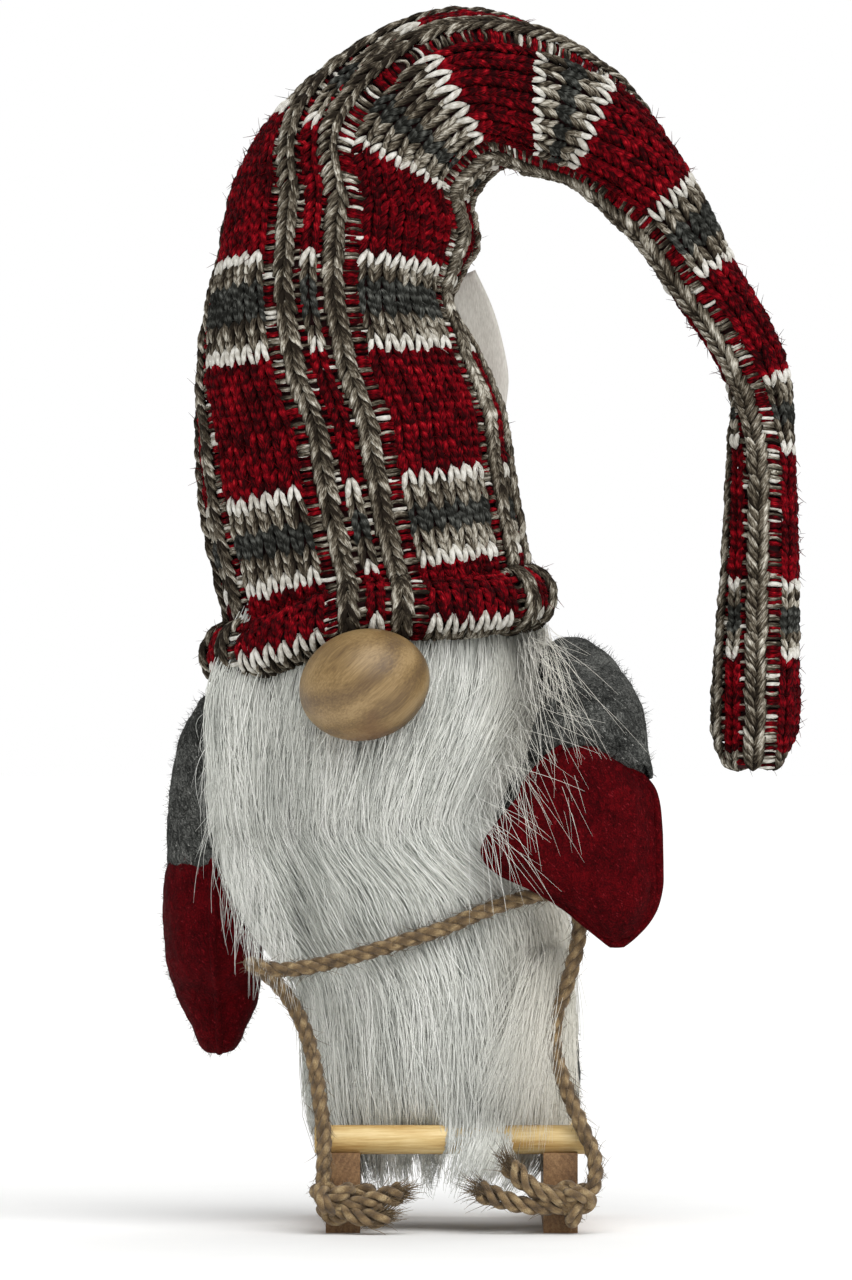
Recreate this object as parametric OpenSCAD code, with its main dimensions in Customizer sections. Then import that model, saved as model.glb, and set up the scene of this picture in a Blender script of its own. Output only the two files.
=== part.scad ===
// Tomte gnome on a small wooden sled. Millimetres, +Z up, the figure faces -Y.
// Origin: middle of the overall box in X and Y, on the plane that the runners stand on.
// Left and right are the viewer's, looking at the front of the figure.

/* [Sled] */
// Middle of the sled across the figure
sled_x = -9; // [-9.4:0.1:-8.6]
// Distance between the centre lines of the two runners
runner_spacing = 63.4; // [62:0.1:64]
// Width of a runner
runner_w = 10; // [9:0.1:10.4]
// Height of a runner
runner_h = 23.2; // [23:0.1:23.4]
// Length of a runner, front to back
runner_l = 118.2; // [116:0.1:119]
// Diameter of the crossbar dowels
dowel_d = 8.5; // [8:0.1:8.5]
// Length of a crossbar dowel
dowel_l = 80; // [76:0.5:82]
// Height of the dowels' centre line
dowel_z = 26.9; // [26.7:0.05:26.9]

/* [Rope] */
// Diameter of the jute rope
rope_d = 4.7; // [4:0.1:4.8]
// Height of the lashing hole through each runner
lashing_z = 12; // [11.5:0.1:12.5]

/* [Body] */
// Thickness of the grey felt
felt_t = 1.6; // [1:0.1:2]
// Height of the figure's underside, on the dowels
body_z = 31.3; // [31.2:0.05:31.5]
// Top of the bag of pellets inside the body
ballast_top = 62; // [55:1:68]

/* [Nose] */
// Half length of the wooden nose, along its grain
nose_long = 19.3; // [18:0.1:19.5]
// Half thickness of the wooden nose
nose_r = 16.2; // [15:0.1:16.3]
// Tilt of the nose, rising to the right
nose_tilt = 15; // [12:1:18]

/* [Hat] */
// Thickness of the knitted fabric
knit_t = 2.4; // [2:0.1:2.8]
// Half height of the rolled brim
brim_r = 6.8; // [6.2:0.1:6.9]
// Diameter of the shaping wire in the hat
wire_d = 2; // [1.5:0.1:2.2]
// Clearance on each side of a bend
bend_gap = 0.35; // [0.3:0.05:0.6]

/* [Hidden] */

$fn = 48;
around = 24;        // points round a felt or knitted tube
clear = 0.3;        // gap between neighbouring soft pieces
eps = 0.02;         // running gap between glued wooden pieces
rope_r = rope_d / 2;
runner_front = -52;
dowel_y = [-44, -16, 16, 56];
lashing_y = -44;
knot_y = runner_front - 7;

// Body: [centre x, height, half width, half depth], from the base to the gathered top
body_line = [[-9, body_z, 38, 34], [-9.5, 45, 39, 35], [-11.5, 70, 38.5, 35.5], [-15, 95, 39, 36],
             [-19.5, 120, 40, 36], [-23, 140, 39, 34.5], [-26.5, 155, 37, 32], [-28.5, 168, 36, 29.5],
             [-31, 185, 35, 29], [-32.5, 195, 24, 20], [-33, 198.5, 3, 3]];

// Hat: [centre x, height, half width, half depth], from the brim over the arch to the tip
hat_line = [[-31, 184, 44.5, 36.5], [-35, 207, 45.5, 35], [-38, 232, 43.6, 33.5], [-41.6, 256, 40, 31],
            [-44, 275, 34.4, 29], [-39, 297, 35.5, 27], [-29, 315, 31, 24], [-13, 328, 26, 21],
            [6.6, 332.7, 22.6, 18], [23, 328.5, 19, 15.5], [41.3, 315.4, 14.8, 12.5],
            [52.4, 299.3, 12, 10.5], [61.2, 283.8, 10.6, 9.3], [72.5, 268.5, 9.4, 8.4],
            [80, 252.5, 8.4, 7.8], [82.6, 234.4, 8.5, 7.8], [82, 207, 10.4, 8.5],
            [82.1, 178, 10.8, 8.8], [81.2, 155, 11.4, 9], [80.2, 141, 10.8, 8.6],
            [79.8, 135, 8, 6.5], [79.7, 132.6, 1, 1]];
first_bend = 6;     // index in hat_line of the bend between crown and arch
second_bend = 14;   // index in hat_line of the bend between arch and tail
bend_angles = [[21, 3.6], [46, 4.6]];   // room to turn at each bend: outer side, inner side

// Brim: half axes of the ring that the roll follows, and its rise to the right
brim_half = [45, 37];
brim_x = -31;
brim_z = 176;
brim_slope = 0.2;
brim_bump = 6;      // how far the nose pushes the brim up

// Shoulders, where the arms hinge: [x, z]
shoulder_left = [-77, 147];
shoulder_right = [25, 163];

// Left sleeve: [x, y, z, half width, half depth], from the cuff to the shoulder
sleeve_left_line = [[-79.3, -1, 104.5, 13.6, 16], [-79.5, -1, 114, 13.4, 16], [-79.3, -0.5, 127, 12.8, 15.5],
                    [-78.6, 0, 138, 11.6, 14.5], [-77.2, 0, 147, 9.6, 12.5], [-77, 0, 153.5, 6.8, 9],
                    [-77, 0, 156.6, 1.5, 2.5]];
// Right sleeve, from the cuff in front of the belly back to the shoulder
sleeve_right_line = [[31, -51, 141.8, 19, 8.6], [31.4, -45.5, 147.5, 18, 9.5], [32, -34, 151, 16.4, 10.5],
                     [31, -20, 155, 14.5, 11.5], [28, -8, 160, 12.8, 11.5], [25.4, 2, 163, 10.8, 10],
                     [25, 9, 164, 7, 6.6], [25, 11.8, 164.3, 1.4, 1.4]];
sleeve_arc = 0.02;  // how much the right cuff drops to its sides

// Left mitten, seen from the side: [height, front y, back y, half thickness in x, centre x]
mitten_left_rows = [[51.5, -6, 1, 2.6, -77.2], [54, -9, 5, 4.6, -77.2], [60.5, -12, 10, 7.2, -77.4],
                    [68, -15, 13, 10.2, -77.8], [75, -22, 14.5, 11.7, -78.4], [82, -25, 15.5, 12.3, -78.9],
                    [90, -23, 16, 12.6, -79.2], [97, -19, 16.5, 12.6, -79.3], [103.9, -17, 16, 12.4, -79.3]];
// Right mitten, seen from the front: [height, left x, right x, half thickness in y, seam y]
mitten_right_rows = [[84.6, 37.5, 40.5, 0.6, -53], [87, 34.5, 43.5, 2.4, -53], [91, 29.5, 47.3, 4.2, -53],
                     [95.5, 24, 49.8, 5.6, -53], [101, 15, 51.1, 6.8, -53], [106, 4.5, 51.2, 7.3, -53],
                     [111.5, 0.8, 51.1, 7.5, -53], [118, 4.5, 50.9, 7.6, -53], [126, 11, 50, 7.4, -53],
                     [131, 13, 47.6, 6.9, -53], [138, 21, 38, 5.6, -53]];
mitten_felt = 1.2;  // thickness of one felt layer at the sewn edge

// Beard: [height share from hem to brim, left x, right x, depth of pile over the body]
beard_rows = [[0, -43, 18, 7], [0.13, -44, 18, 9.5], [0.3, -47, 18, 8.5], [0.42, -51, 15, 8],
              [0.56, -56, 8, 10.5], [0.7, -58, 4, 10.5], [0.83, -59, 6, 7], [1, -58, 7, 2.5]];
beard_hem = 32.5;

nose_at = [-34.4, -50, 159.7];

// Route of the rope's centre line, knot to knot
rope_route = [[-46.5, -59, 12], [-46.2, -56.5, 20], [-46.2, -53, 29], [-47.4, -50.6, 38], [-48.8, -46.5, 48],
              [-51.2, -41.5, 57], [-54.8, -37, 65], [-60, -34.5, 72], [-65.4, -36.4, 76.6],
              [-67.6, -42, 78.2], [-65, -47.4, 77.6], [-59, -49.6, 76.6], [-50, -50, 77.6], [-36, -49.4, 81],
              [-24, -49, 84.6], [-12, -48.4, 88.4], [-3, -47.4, 92.2], [6, -45.6, 95.6], [15, -43.8, 98],
              [21.5, -43.2, 98.6], [26.6, -43.2, 95.6], [28.4, -43.2, 90], [27.2, -43.2, 81.6],
              [24.6, -43.4, 72], [21.6, -44, 63], [20.9, -45.4, 54], [24, -48.6, 43], [28.6, -51.8, 31.6],
              [32.4, -55, 22.6], [32.4, -58, 14.6], [28.6, -59.6, 9]];

label_y = 14.5;
label_t = 0.5;
label_outline = [[-13, 277.5], [-8, 268], [-3, 257], [0.2, 247], [1, 238], [5.3, 234], [8.2, 248.5],
                 [5.3, 263], [-0.6, 281], [-5.4, 283]];

wood_pale = "#e2c489";
wood_warm = "#b98a5e";
jute = "#8f7148";
felt_grey = "#6e7072";
felt_red = "#7a0d1c";
knit_red = "#97101f";
knit_grey = "#7d766c";
fur = "#e4e5e2";
fill_white = "#f2f2ee";

// ---- curves ----
function spline_at(p, i, t) =
    let (a = p[max(i - 1, 0)], b = p[i], c = p[i + 1], d = p[min(i + 2, len(p) - 1)])
    0.5 * (2 * b + (c - a) * t + (2 * a - 5 * b + 4 * c - d) * t * t + (3 * b - a - 3 * c + d) * t * t * t);
function spline(p, steps) =
    concat([for (i = [0:len(p) - 2]) for (k = [0:steps - 1]) spline_at(p, i, k / steps)], [p[len(p) - 1]]);
function unit(v) = v / norm(v);
function direction(line, i) = unit(line[min(i + 1, len(line) - 1)] - line[max(i - 1, 0)]);
function place(v) = [v[0], v[1], v[2]];
function middle(ring) = [for (k = [0:2]) [for (p = ring) p[k]] * [for (p = ring) 1] / len(ring)];
function flat_at(rows, f) =
    let (i = max([for (k = [0:len(rows) - 2]) if (rows[k][0] <= f) k]),
         t = (f - rows[i][0]) / (rows[i + 1][0] - rows[i][0]), s = t * t * (3 - 2 * t))
    rows[i] * (1 - s) + rows[i + 1] * s;

// ---- solids from rings and grids of points ----
function band(n, i, at) =
    [for (j = [0:n - 1]) let (a = at + i * n + j, b = at + i * n + (j + 1) % n)
        each [[a, a + n, b + n], [a, b + n, b]]];
function turned(faces) = [for (f = faces) [f[2], f[1], f[0]]];

// Closed solid through a stack of rings
module loft(rings) {
    n = len(rings[0]);
    m = len(rings);
    sides = [for (i = [0:m - 2]) each band(n, i, 0)];
    start = [for (j = [0:n - 1]) [m * n, j, (j + 1) % n]];
    end = [for (j = [0:n - 1]) [m * n + 1, (m - 1) * n + (j + 1) % n, (m - 1) * n + j]];
    polyhedron([for (r = rings) each r, middle(rings[0]), middle(rings[m - 1])],
               concat(sides, start, end), convexity = 6);
}

// Wall between an outer and an inner stack of rings; closed_end shuts the far end
module wall(outer, inner, closed_end = false) {
    n = len(outer[0]);
    m = len(outer);
    all = n * m;
    last = (m - 1) * n;
    sides = [for (i = [0:m - 2]) each band(n, i, 0)];
    inside = turned([for (i = [0:m - 2]) each band(n, i, all)]);
    start = [for (j = [0:n - 1]) let (k = (j + 1) % n)
                each [[j, k, all + k], [j, all + k, all + j]]];
    rim = [for (j = [0:n - 1]) let (k = (j + 1) % n)
              each [[last + j, all + last + k, last + k], [last + j, all + last + j, all + last + k]]];
    caps = [for (j = [0:n - 1]) let (k = (j + 1) % n)
               each [[2 * all, last + k, last + j], [2 * all + 1, all + last + j, all + last + k]]];
    points = concat([for (r = outer) each r], [for (r = inner) each r],
                    closed_end ? [middle(outer[m - 1]), middle(inner[m - 1])] : []);
    polyhedron(points, concat(sides, inside, start, closed_end ? caps : rim), convexity = 8);
}

// Curved sheet between a front grid and a back grid; rows go up, columns go to the right of the outside
module slab(front, back) {
    m = len(front);
    n = len(front[0]);
    all = m * n;
    skin = [for (i = [0:m - 2]) for (j = [0:n - 2]) let (a = i * n + j)
               each [[a, a + n, a + n + 1], [a, a + n + 1, a + 1]]];
    edge = concat([for (i = [0:m - 2]) i * n], [for (j = [0:n - 2]) (m - 1) * n + j],
                  [for (i = [m - 1:-1:1]) i * n + n - 1], [for (j = [n - 1:-1:1]) j]);
    rim = [for (k = [0:len(edge) - 1]) let (p = edge[k], q = edge[(k + 1) % len(edge)])
              each [[q, p, p + all], [q, p + all, q + all]]];
    polyhedron(concat([for (r = front) each r], [for (r = back) each r]),
               concat(skin, turned([for (f = skin) f + [all, all, all]]), rim), convexity = 8);
}

// Ring round a line that lies in the plane of the picture: a across, b in depth
function plane_ring(at, t, a, b, n = around) =
    [for (j = [0:n - 1]) let (u = a * cos(360 * j / n), v = b * sin(360 * j / n))
        [at[0] + u * t[1], v, at[1] - u * t[0]]];
// Ring square to direction t, with a measured across the figure
function free_ring(at, t, a, b, n = around) =
    let (x = unit([1, 0, 0] - t[0] * t), y = cross(t, x))
    [for (j = [0:n - 1]) place(at) + a * cos(360 * j / n) * x + b * sin(360 * j / n) * y];
// Ring of a round cord, with its seam kept towards +Y
function cord_ring(at, t, r, n) =
    let (y = unit([0, 1, 0] - t[1] * t), x = cross(y, t))
    [for (j = [0:n - 1]) at + r * (cos(360 * j / n) * x + sin(360 * j / n) * y)];

// ---- sled ----
module runner(side) {
    x = sled_x + side * runner_spacing / 2;
    difference() {
        translate([x - runner_w / 2, runner_front, 0]) cube([runner_w, runner_l, runner_h]);
        for (y = dowel_y)
            translate([x - runner_w, y, dowel_z]) rotate([0, 90, 0]) cylinder(d = dowel_d + 2 * eps, h = 2 * runner_w);
        translate([x - runner_w, lashing_y, lashing_z]) rotate([0, 90, 0]) cylinder(d = rope_d + 0.8, h = 2 * runner_w);
    }
}
module runner_left() { color(wood_warm) runner(-1); }
module runner_right() { color(wood_warm) runner(1); }

module crossbar(y) {
    bevel = 0.6;
    color(wood_pale) translate([sled_x, y, dowel_z]) rotate([0, 90, 0])
        rotate_extrude() polygon([[0, -dowel_l / 2], [dowel_d / 2 - bevel, -dowel_l / 2],
                                  [dowel_d / 2, bevel - dowel_l / 2], [dowel_d / 2, dowel_l / 2 - bevel],
                                  [dowel_d / 2 - bevel, dowel_l / 2], [0, dowel_l / 2]]);
}
module crossbar_front() { crossbar(dowel_y[0]); }
module crossbar_mid_front() { crossbar(dowel_y[1]); }
module crossbar_mid_back() { crossbar(dowel_y[2]); }
module crossbar_back() { crossbar(dowel_y[3]); }

// ---- rope ----
module rope() {
    line = spline(rope_route, 2);
    color(jute) loft([for (i = [0:len(line) - 1]) cord_ring(line[i], direction(line, i), rope_r, 8)]);
}

// Lashing through the runner's hole and round its nose
module lashing(x) {
    turn = 2.8;
    half = runner_w / 2 + rope_r + 0.2;
    front = runner_front - rope_r - 0.2;
    for (s = [-1, 1]) {
        translate([x + s * half, front + turn, lashing_z]) rotate([-90, 0, 0])
            cylinder(r = rope_r, h = lashing_y - front - 2 * turn);
        translate([x + s * (half - turn), front + turn, lashing_z]) rotate([0, 0, s > 0 ? 270 : 180])
            rotate_extrude(angle = 90) translate([turn, 0]) circle(r = rope_r);
        translate([x + s * (half - turn), lashing_y - turn, lashing_z]) rotate([0, 0, s > 0 ? 0 : 90])
            rotate_extrude(angle = 90) translate([turn, 0]) circle(r = rope_r);
    }
    for (y = [front, lashing_y])
        translate([x - half + turn, y, lashing_z]) rotate([0, 90, 0]) cylinder(r = rope_r, h = 2 * (half - turn));
}

// Frayed end of the rope, from one point to another
module frayed_end(from, to) {
    d = to - from;
    translate(from) rotate([0, acos(d[2] / norm(d)), atan2(d[1], d[0])])
        cylinder(r1 = rope_r, r2 = 1.35 * rope_r, h = norm(d));
}

module overhand_knot(at) {
    ring_r = 4.1;
    for (tilt = [[70, 25, 0], [75, -50, 10]])
        translate(at) rotate(tilt) rotate_extrude() translate([ring_r, 0]) circle(r = rope_r);
    translate(at) sphere(r = 4);
}

module rope_knot_left() {
    at = [sled_x - runner_spacing / 2 - 2.4, knot_y, 8.2];
    color(jute) {
        lashing(sled_x - runner_spacing / 2);
        overhand_knot(at);
        frayed_end(at, [-24, -60.5, 12]);
        frayed_end(at, [-28.5, -62, 6]);
    }
}
module rope_knot_right() {
    at = [sled_x + runner_spacing / 2 + 3.4, knot_y, 7.2];
    color(jute) {
        lashing(sled_x + runner_spacing / 2);
        overhand_knot(at);
        frayed_end(at, [-0.6, -60.5, 12.5]);
        frayed_end(at, [8.2, -61, 20]);
    }
}

// ---- body ----
function body_rings(shrink) =
    [for (c = spline(body_line, 2)) plane_ring(c, [0, 1], max(c[2] - shrink, 1.2), max(c[3] - shrink, 1.2))];
function body_slice(shrink, low, high) =
    [for (r = body_rings(shrink)) if (r[0][2] > low && r[0][2] < high) r];
function level(ring, z) = [for (p = ring) [p[0], p[1], z]];
function body_at(z) =
    let (line = spline(body_line, 4), i = max([for (k = [0:len(line) - 2]) if (line[k][1] <= z) k]),
         t = (z - line[i][1]) / (line[i + 1][1] - line[i][1]))
    line[i] * (1 - t) + line[i + 1] * t;
// Front of the body at x and z, of an oval that is wider by spare on each side
function body_front(x, z, spare) =
    let (c = body_at(z)) -c[3] * sqrt(max(1 - pow((x - c[0]) / (c[2] + spare), 2), 0));

base_t = 1.6;
card_t = 1.2;
module body_shell() {
    low = body_z + base_t;
    outer = concat([level(body_rings(0)[0], low + 0.05)], body_slice(0, low + 1, 199));
    inner = concat([level(body_rings(felt_t)[0], low + 0.05)], body_slice(felt_t, low + 1, 199));
    color(felt_grey) wall(outer, inner);
}
module base_felt() {
    ring = body_rings(0)[0];
    color(felt_grey) loft([level(ring, body_z), level(ring, body_z + base_t)]);
}
module base_card() {
    ring = body_rings(felt_t + 0.6)[0];
    low = body_z + base_t + 0.1;
    color("#c9b48c") loft([level(ring, low), level(ring, low + card_t)]);
}
module pellet_bag() {
    low = body_z + base_t + card_t + 0.3;
    rings = body_slice(felt_t + 1, low + 1, ballast_top - 1);
    color("#d8d4c8") loft(concat([level(rings[0], low)], rings, [level(rings[len(rings) - 1], ballast_top)]));
}
module body_stuffing() {
    rings = body_slice(felt_t + 0.5, ballast_top + 2, 196);
    color(fill_white) loft(concat([level(rings[0], ballast_top + 0.5)], rings));
}

// ---- beard ----
function brim_height(x, front) =
    brim_z + brim_slope * (x - brim_x) + brim_bump * exp(-pow((x + 36) / 22, 2)) * front;
function nose_back(x, z) =
    let (away = pow((x - nose_at[0]) / (nose_long + 2.2), 2) + pow((z - nose_at[2]) / (nose_r + 2.4), 2))
    nose_at[1] + (nose_r + 1.6) * sqrt(max(1 - away, 0));
function beard_point(f, g, back) =
    let (row = flat_at(beard_rows, f), x = row[1] + (row[2] - row[1]) * g,
         z = beard_hem + f * (brim_height(x, 1) - brim_r - 1.6 - beard_hem),
         rear = body_front(x, z, 2.5) - clear - 0.5,
         pile = row[3] * pow(max(1 - pow(2 * g - 1, 4), 0), 0.5) + 0.6)
    [x, back ? rear : min(max(rear - pile, nose_back(x, z)), rear - 0.6), z];
module beard() {
    rows = 20;
    cols = 18;
    grid = function (back) [for (i = [0:rows]) [for (j = [0:cols]) beard_point(i / rows, j / cols, back)]];
    color(fur) slab(grid(false), grid(true));
}

module nose() {
    steps = 24;
    outline = [for (k = [0:steps]) let (a = 180 * k / steps - 90)
                  [k == 0 || k == steps ? 0 : nose_r * cos(a), nose_long * sin(a)]];
    color("#c9a270") translate(nose_at) rotate([0, 90 - nose_tilt, 0]) rotate_extrude() polygon(outline);
}

// ---- arms ----
function sleeve_rings(line, shrink, droop, ends) =
    let (fine = spline(line, 2), last = len(fine) - 1)
    [for (i = [ends[0]:last - ends[1]])
        let (c = fine[i], t = unit(place(direction([for (p = fine) place(p)], i))),
             ring = free_ring(c, t, max(c[3] - shrink, 0.5), max(c[4] - shrink, 0.5)),
             sag = droop * max(1 - i / 4, 0), back = i == last ? 0.7 * shrink : 0)
        [for (p = ring) p - back * t - [0, 0, sag * pow(p[0] - c[0] + 3.5, 2)]]];
sleeve_t = 1.3;     // felt thickness of a sleeve
module sleeve(line, droop) {
    color(felt_grey) wall(sleeve_rings(line, 0, droop, [0, 0]), sleeve_rings(line, sleeve_t, droop, [0, 0]), true);
}
module sleeve_left() { sleeve(sleeve_left_line, 0); }
module sleeve_right() { sleeve(sleeve_right_line, sleeve_arc); }
module sleeve_stuffing_left() { color(fill_white) loft(sleeve_rings(sleeve_left_line, 1.7, 0, [1, 2])); }
module sleeve_stuffing_right() { color(fill_white) loft(sleeve_rings(sleeve_right_line, 1.7, sleeve_arc, [1, 2])); }

// A mitten layer bulges to one side of its seam; hollow gives its inner surface
function mitten_bulge(row, t, hollow) =
    let (s = hollow ? min(abs(t) / 0.9, 1) : abs(t))
    (hollow ? 0.05 : mitten_felt) + row[3] * pow(max(1 - pow(s, 2.2), 0), 0.6);
function mitten_grid(rows, side, hollow, edge_on, cols = 12) =
    [for (row = spline(rows, 2)) [for (j = [0:cols])
        let (t = 2 * j / cols - 1, g = side > 0 == edge_on ? t : -t,
             across = (row[1] + row[2]) / 2 + g * (row[2] - row[1]) / 2,
             out = side * (hollow == 2 ? max(mitten_bulge(row, g, true) - 0.4, 0.08) : mitten_bulge(row, g, hollow == 1)))
        edge_on ? [row[4] + out, across, row[0]] : [across, row[4] + out, row[0]]]];
module mitten_half(rows, side, edge_on) {
    color(felt_red) slab(mitten_grid(rows, side, 0, edge_on), mitten_grid(rows, side, 1, edge_on));
}
module mitten_filling(rows, edge_on) {
    inner = [for (i = [1:len(rows) - 1]) rows[i]];
    low = mitten_grid(inner, -1, 2, edge_on);
    high = mitten_grid(inner, 1, 2, edge_on);
    color(fill_white) slab(high, [for (r = low) [for (j = [len(r) - 1:-1:0]) r[j]]]);
}
module mitten_left_outer() { mitten_half(mitten_left_rows, -1, true); }
module mitten_left_inner() { mitten_half(mitten_left_rows, 1, true); }
module mitten_right_front() { mitten_half(mitten_right_rows, -1, false); }
module mitten_right_back() { mitten_half(mitten_right_rows, 1, false); }
module mitten_stuffing_left() { mitten_filling(mitten_left_rows, true); }
module mitten_stuffing_right() { mitten_filling(mitten_right_rows, false); }

// ---- hat ----
module hat_brim() {
    n = 14;
    m = 36;
    rings = [for (i = [0:m - 1])
        let (f = 360 * i / m, x = brim_x + brim_half[0] * cos(f), y = brim_half[1] * sin(f),
             z = brim_height(x, max(-sin(f), 0)))
        [for (j = [0:n - 1]) let (a = 360 * j / n)
            [x + 6.2 * cos(a) * cos(f), y + 6.2 * cos(a) * sin(f), z - brim_r * sin(a)]]];
    faces = [for (i = [0:m - 1]) for (j = [0:n - 1])
        let (a = i * n + j, b = i * n + (j + 1) % n, c = ((i + 1) % m) * n + j, d = ((i + 1) % m) * n + (j + 1) % n)
        each [[a, c, d], [a, d, b]]];
    color(knit_red) polyhedron([for (r = rings) each r], faces, convexity = 8);
}

hat_fine = spline(hat_line, 2);
// Ring at step i of the hat, moved along its line by the room that a bend needs
function hat_ring(i, a, b, move, angles) =
    let (c = hat_fine[i], t = unit([for (k = [0:1]) direction(hat_fine, i)[k]]),
         ring = plane_ring(c, t, a, b))
    [for (p = ring)
        let (u = (p[0] - c[0]) * t[1] - (p[2] - c[1]) * t[0],
             s = move + (u > 0 ? u * tan(angles[1]) : -u * tan(angles[0])))
        [p[0] + s * t[0], p[1], p[2] + s * t[1]]];
function hat_base(shrink) =
    [for (p = plane_ring(hat_line[0], [0, 1], hat_line[0][2] - shrink, hat_line[0][3] - shrink))
        [p[0], p[1], brim_height(p[0], max(-p[1] / hat_line[0][3], 0)) + brim_r + 0.3]];
// Steps of the hat's line that make rings; those that a bend's wedge would cross are left out
function hat_steps(from, to, wedge) =
    [for (i = [from:to]) if (i == from || is_undef(wedge) || i > from + (wedge == 0 ? 2 : 1)) i];
// Rings of the hat from one step to another; wedge is the bend at the start, or undef
function hat_rings(from, to, shrink, wedge, first_move, last_move, tuck = 0) =
    [for (i = hat_steps(from, to, wedge))
        let (c = hat_fine[i], less = shrink + (i == from ? tuck : 0))
        hat_ring(i, max(c[2] - less, 0.6), max(c[3] - less, 0.6),
                 i == from ? first_move : i == to ? last_move : 0,
                 i == from && !is_undef(wedge) ? bend_angles[wedge] : [0, 0])];
// Rings of radius r round the hat's middle line, at the same steps as the stuffing
function core_rings(from, to, r, wedge, first_move, last_move) =
    [for (i = hat_steps(from, to, wedge))
        hat_ring(i, r, r, i == from ? first_move : i == to ? last_move : 0, [0, 0])];

arch_start = 2 * first_bend;
tail_start = 2 * second_bend;
tip = len(hat_fine) - 1;
fill_gap = knit_t + clear;
module hat_crown() {
    outer = concat([hat_base(0)], hat_rings(1, arch_start, 0, undef, 0, -bend_gap));
    inner = concat([hat_base(knit_t)], hat_rings(1, arch_start, knit_t, undef, 0, -bend_gap));
    color(knit_red) wall(outer, inner);
}
module hat_arch() {
    color(knit_grey) wall(hat_rings(arch_start, tail_start, 0, 0, bend_gap, -bend_gap),
                          hat_rings(arch_start, tail_start, knit_t, 0, bend_gap, -bend_gap));
}
module hat_tail() {
    color(knit_red) wall(hat_rings(tail_start, tip, 0, 1, bend_gap, 0),
                         hat_rings(tail_start, tip, knit_t, 1, bend_gap, -0.8), true);
}
tunnel_r = wire_d / 2 + 0.35;
module stuffing(from, to, wedge, first_move, last_move, tuck) {
    color(fill_white) wall(hat_rings(from, to, fill_gap, wedge, first_move, last_move, tuck),
                           core_rings(from, to, tunnel_r, wedge, first_move, last_move));
}
module crown_stuffing() { stuffing(2, arch_start, undef, 0, -1.5, 0); }
module arch_stuffing() { stuffing(arch_start, tail_start, 0, 1.5, -1.5, 2.2); }
module tail_stuffing() { stuffing(tail_start, tip - 4, 1, 1.5, 0, 0.5); }
module wire(from, to, wedge, first_move, last_move) {
    color("#8a8d90") loft(core_rings(from, to, wire_d / 2, wedge, first_move, last_move));
}
module wire_crown() { wire(2, arch_start, undef, 1, -1.6); }
module wire_arch() { wire(arch_start, tail_start, 0, 1.6, -1.6); }
module wire_tail() { wire(tail_start, tip - 4, 1, 1.6, -1); }

module care_label() {
    color("#cfcbc2") translate([0, label_y, 0]) rotate([90, 0, 0]) linear_extrude(label_t) polygon(label_outline);
}

runner_left();
runner_right();
crossbar_front();
crossbar_mid_front();
crossbar_mid_back();
crossbar_back();
rope();
rope_knot_left();
rope_knot_right();
body_shell();
base_felt();
base_card();
pellet_bag();
body_stuffing();
beard();
nose();
sleeve_left();
sleeve_right();
sleeve_stuffing_left();
sleeve_stuffing_right();
mitten_left_outer();
mitten_left_inner();
mitten_right_front();
mitten_right_back();
mitten_stuffing_left();
mitten_stuffing_right();
hat_brim();
hat_crown();
hat_arch();
hat_tail();
crown_stuffing();
arch_stuffing();
tail_stuffing();
wire_crown();
wire_arch();
wire_tail();
care_label();
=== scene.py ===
# Tomte gnome on a small wooden sled: knitted hat, fur beard, felt body, wooden nose and rope reins.
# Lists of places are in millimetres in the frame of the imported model; meshes are made in metres.
import math

import bpy
import numpy as np
from mathutils import Matrix, Vector
from mathutils.bvhtree import BVHTree


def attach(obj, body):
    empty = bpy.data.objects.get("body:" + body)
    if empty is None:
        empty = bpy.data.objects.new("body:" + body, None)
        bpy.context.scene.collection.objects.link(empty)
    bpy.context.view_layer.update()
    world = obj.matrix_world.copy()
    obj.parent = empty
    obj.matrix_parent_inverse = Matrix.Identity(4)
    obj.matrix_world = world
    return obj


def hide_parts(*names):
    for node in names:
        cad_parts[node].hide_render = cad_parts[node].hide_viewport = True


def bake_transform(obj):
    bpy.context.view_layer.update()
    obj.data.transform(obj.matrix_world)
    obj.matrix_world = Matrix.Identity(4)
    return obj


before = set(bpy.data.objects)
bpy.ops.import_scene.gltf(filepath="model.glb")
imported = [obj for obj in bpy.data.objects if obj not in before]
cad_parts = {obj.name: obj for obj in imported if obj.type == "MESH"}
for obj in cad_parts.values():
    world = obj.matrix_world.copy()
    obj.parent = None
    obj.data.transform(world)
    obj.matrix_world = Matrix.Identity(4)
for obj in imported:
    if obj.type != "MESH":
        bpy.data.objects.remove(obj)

MM = 0.001
TURN = 2 * math.pi
rng = np.random.default_rng(11)
uniform = rng.uniform
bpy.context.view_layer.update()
scene = bpy.context.scene


def rgb(red, green, blue):
    """A linear colour from its three sRGB values of 0 to 255."""
    channels = np.array([red, green, blue]) / 255
    return (*np.where(channels <= 0.04045, channels / 12.92, ((channels + 0.055) / 1.055) ** 2.4), 1.0)


# ---- camera
def make_camera():
    distance = 5.0
    elevation = math.radians(0.8)
    aim = Vector((-0.0165, 0, 0.172))
    height_seen = 0.3765        # of the frame, at the figure
    data = bpy.data.cameras.new("camera")
    data.sensor_fit = "VERTICAL"
    data.sensor_height = 24
    data.lens = data.sensor_height * distance / height_seen
    data.clip_end = 20
    camera = bpy.data.objects.new("camera", data)
    camera.location = aim + distance * Vector((0, -math.cos(elevation), math.sin(elevation)))
    camera.rotation_euler = (aim - camera.location).to_track_quat("-Z", "Y").to_euler()
    scene.collection.objects.link(camera)
    scene.camera = camera


make_camera()


# ---- curves
def unit(vectors):
    return vectors / np.maximum(np.linalg.norm(vectors, axis=-1, keepdims=True), 1e-12)


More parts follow.
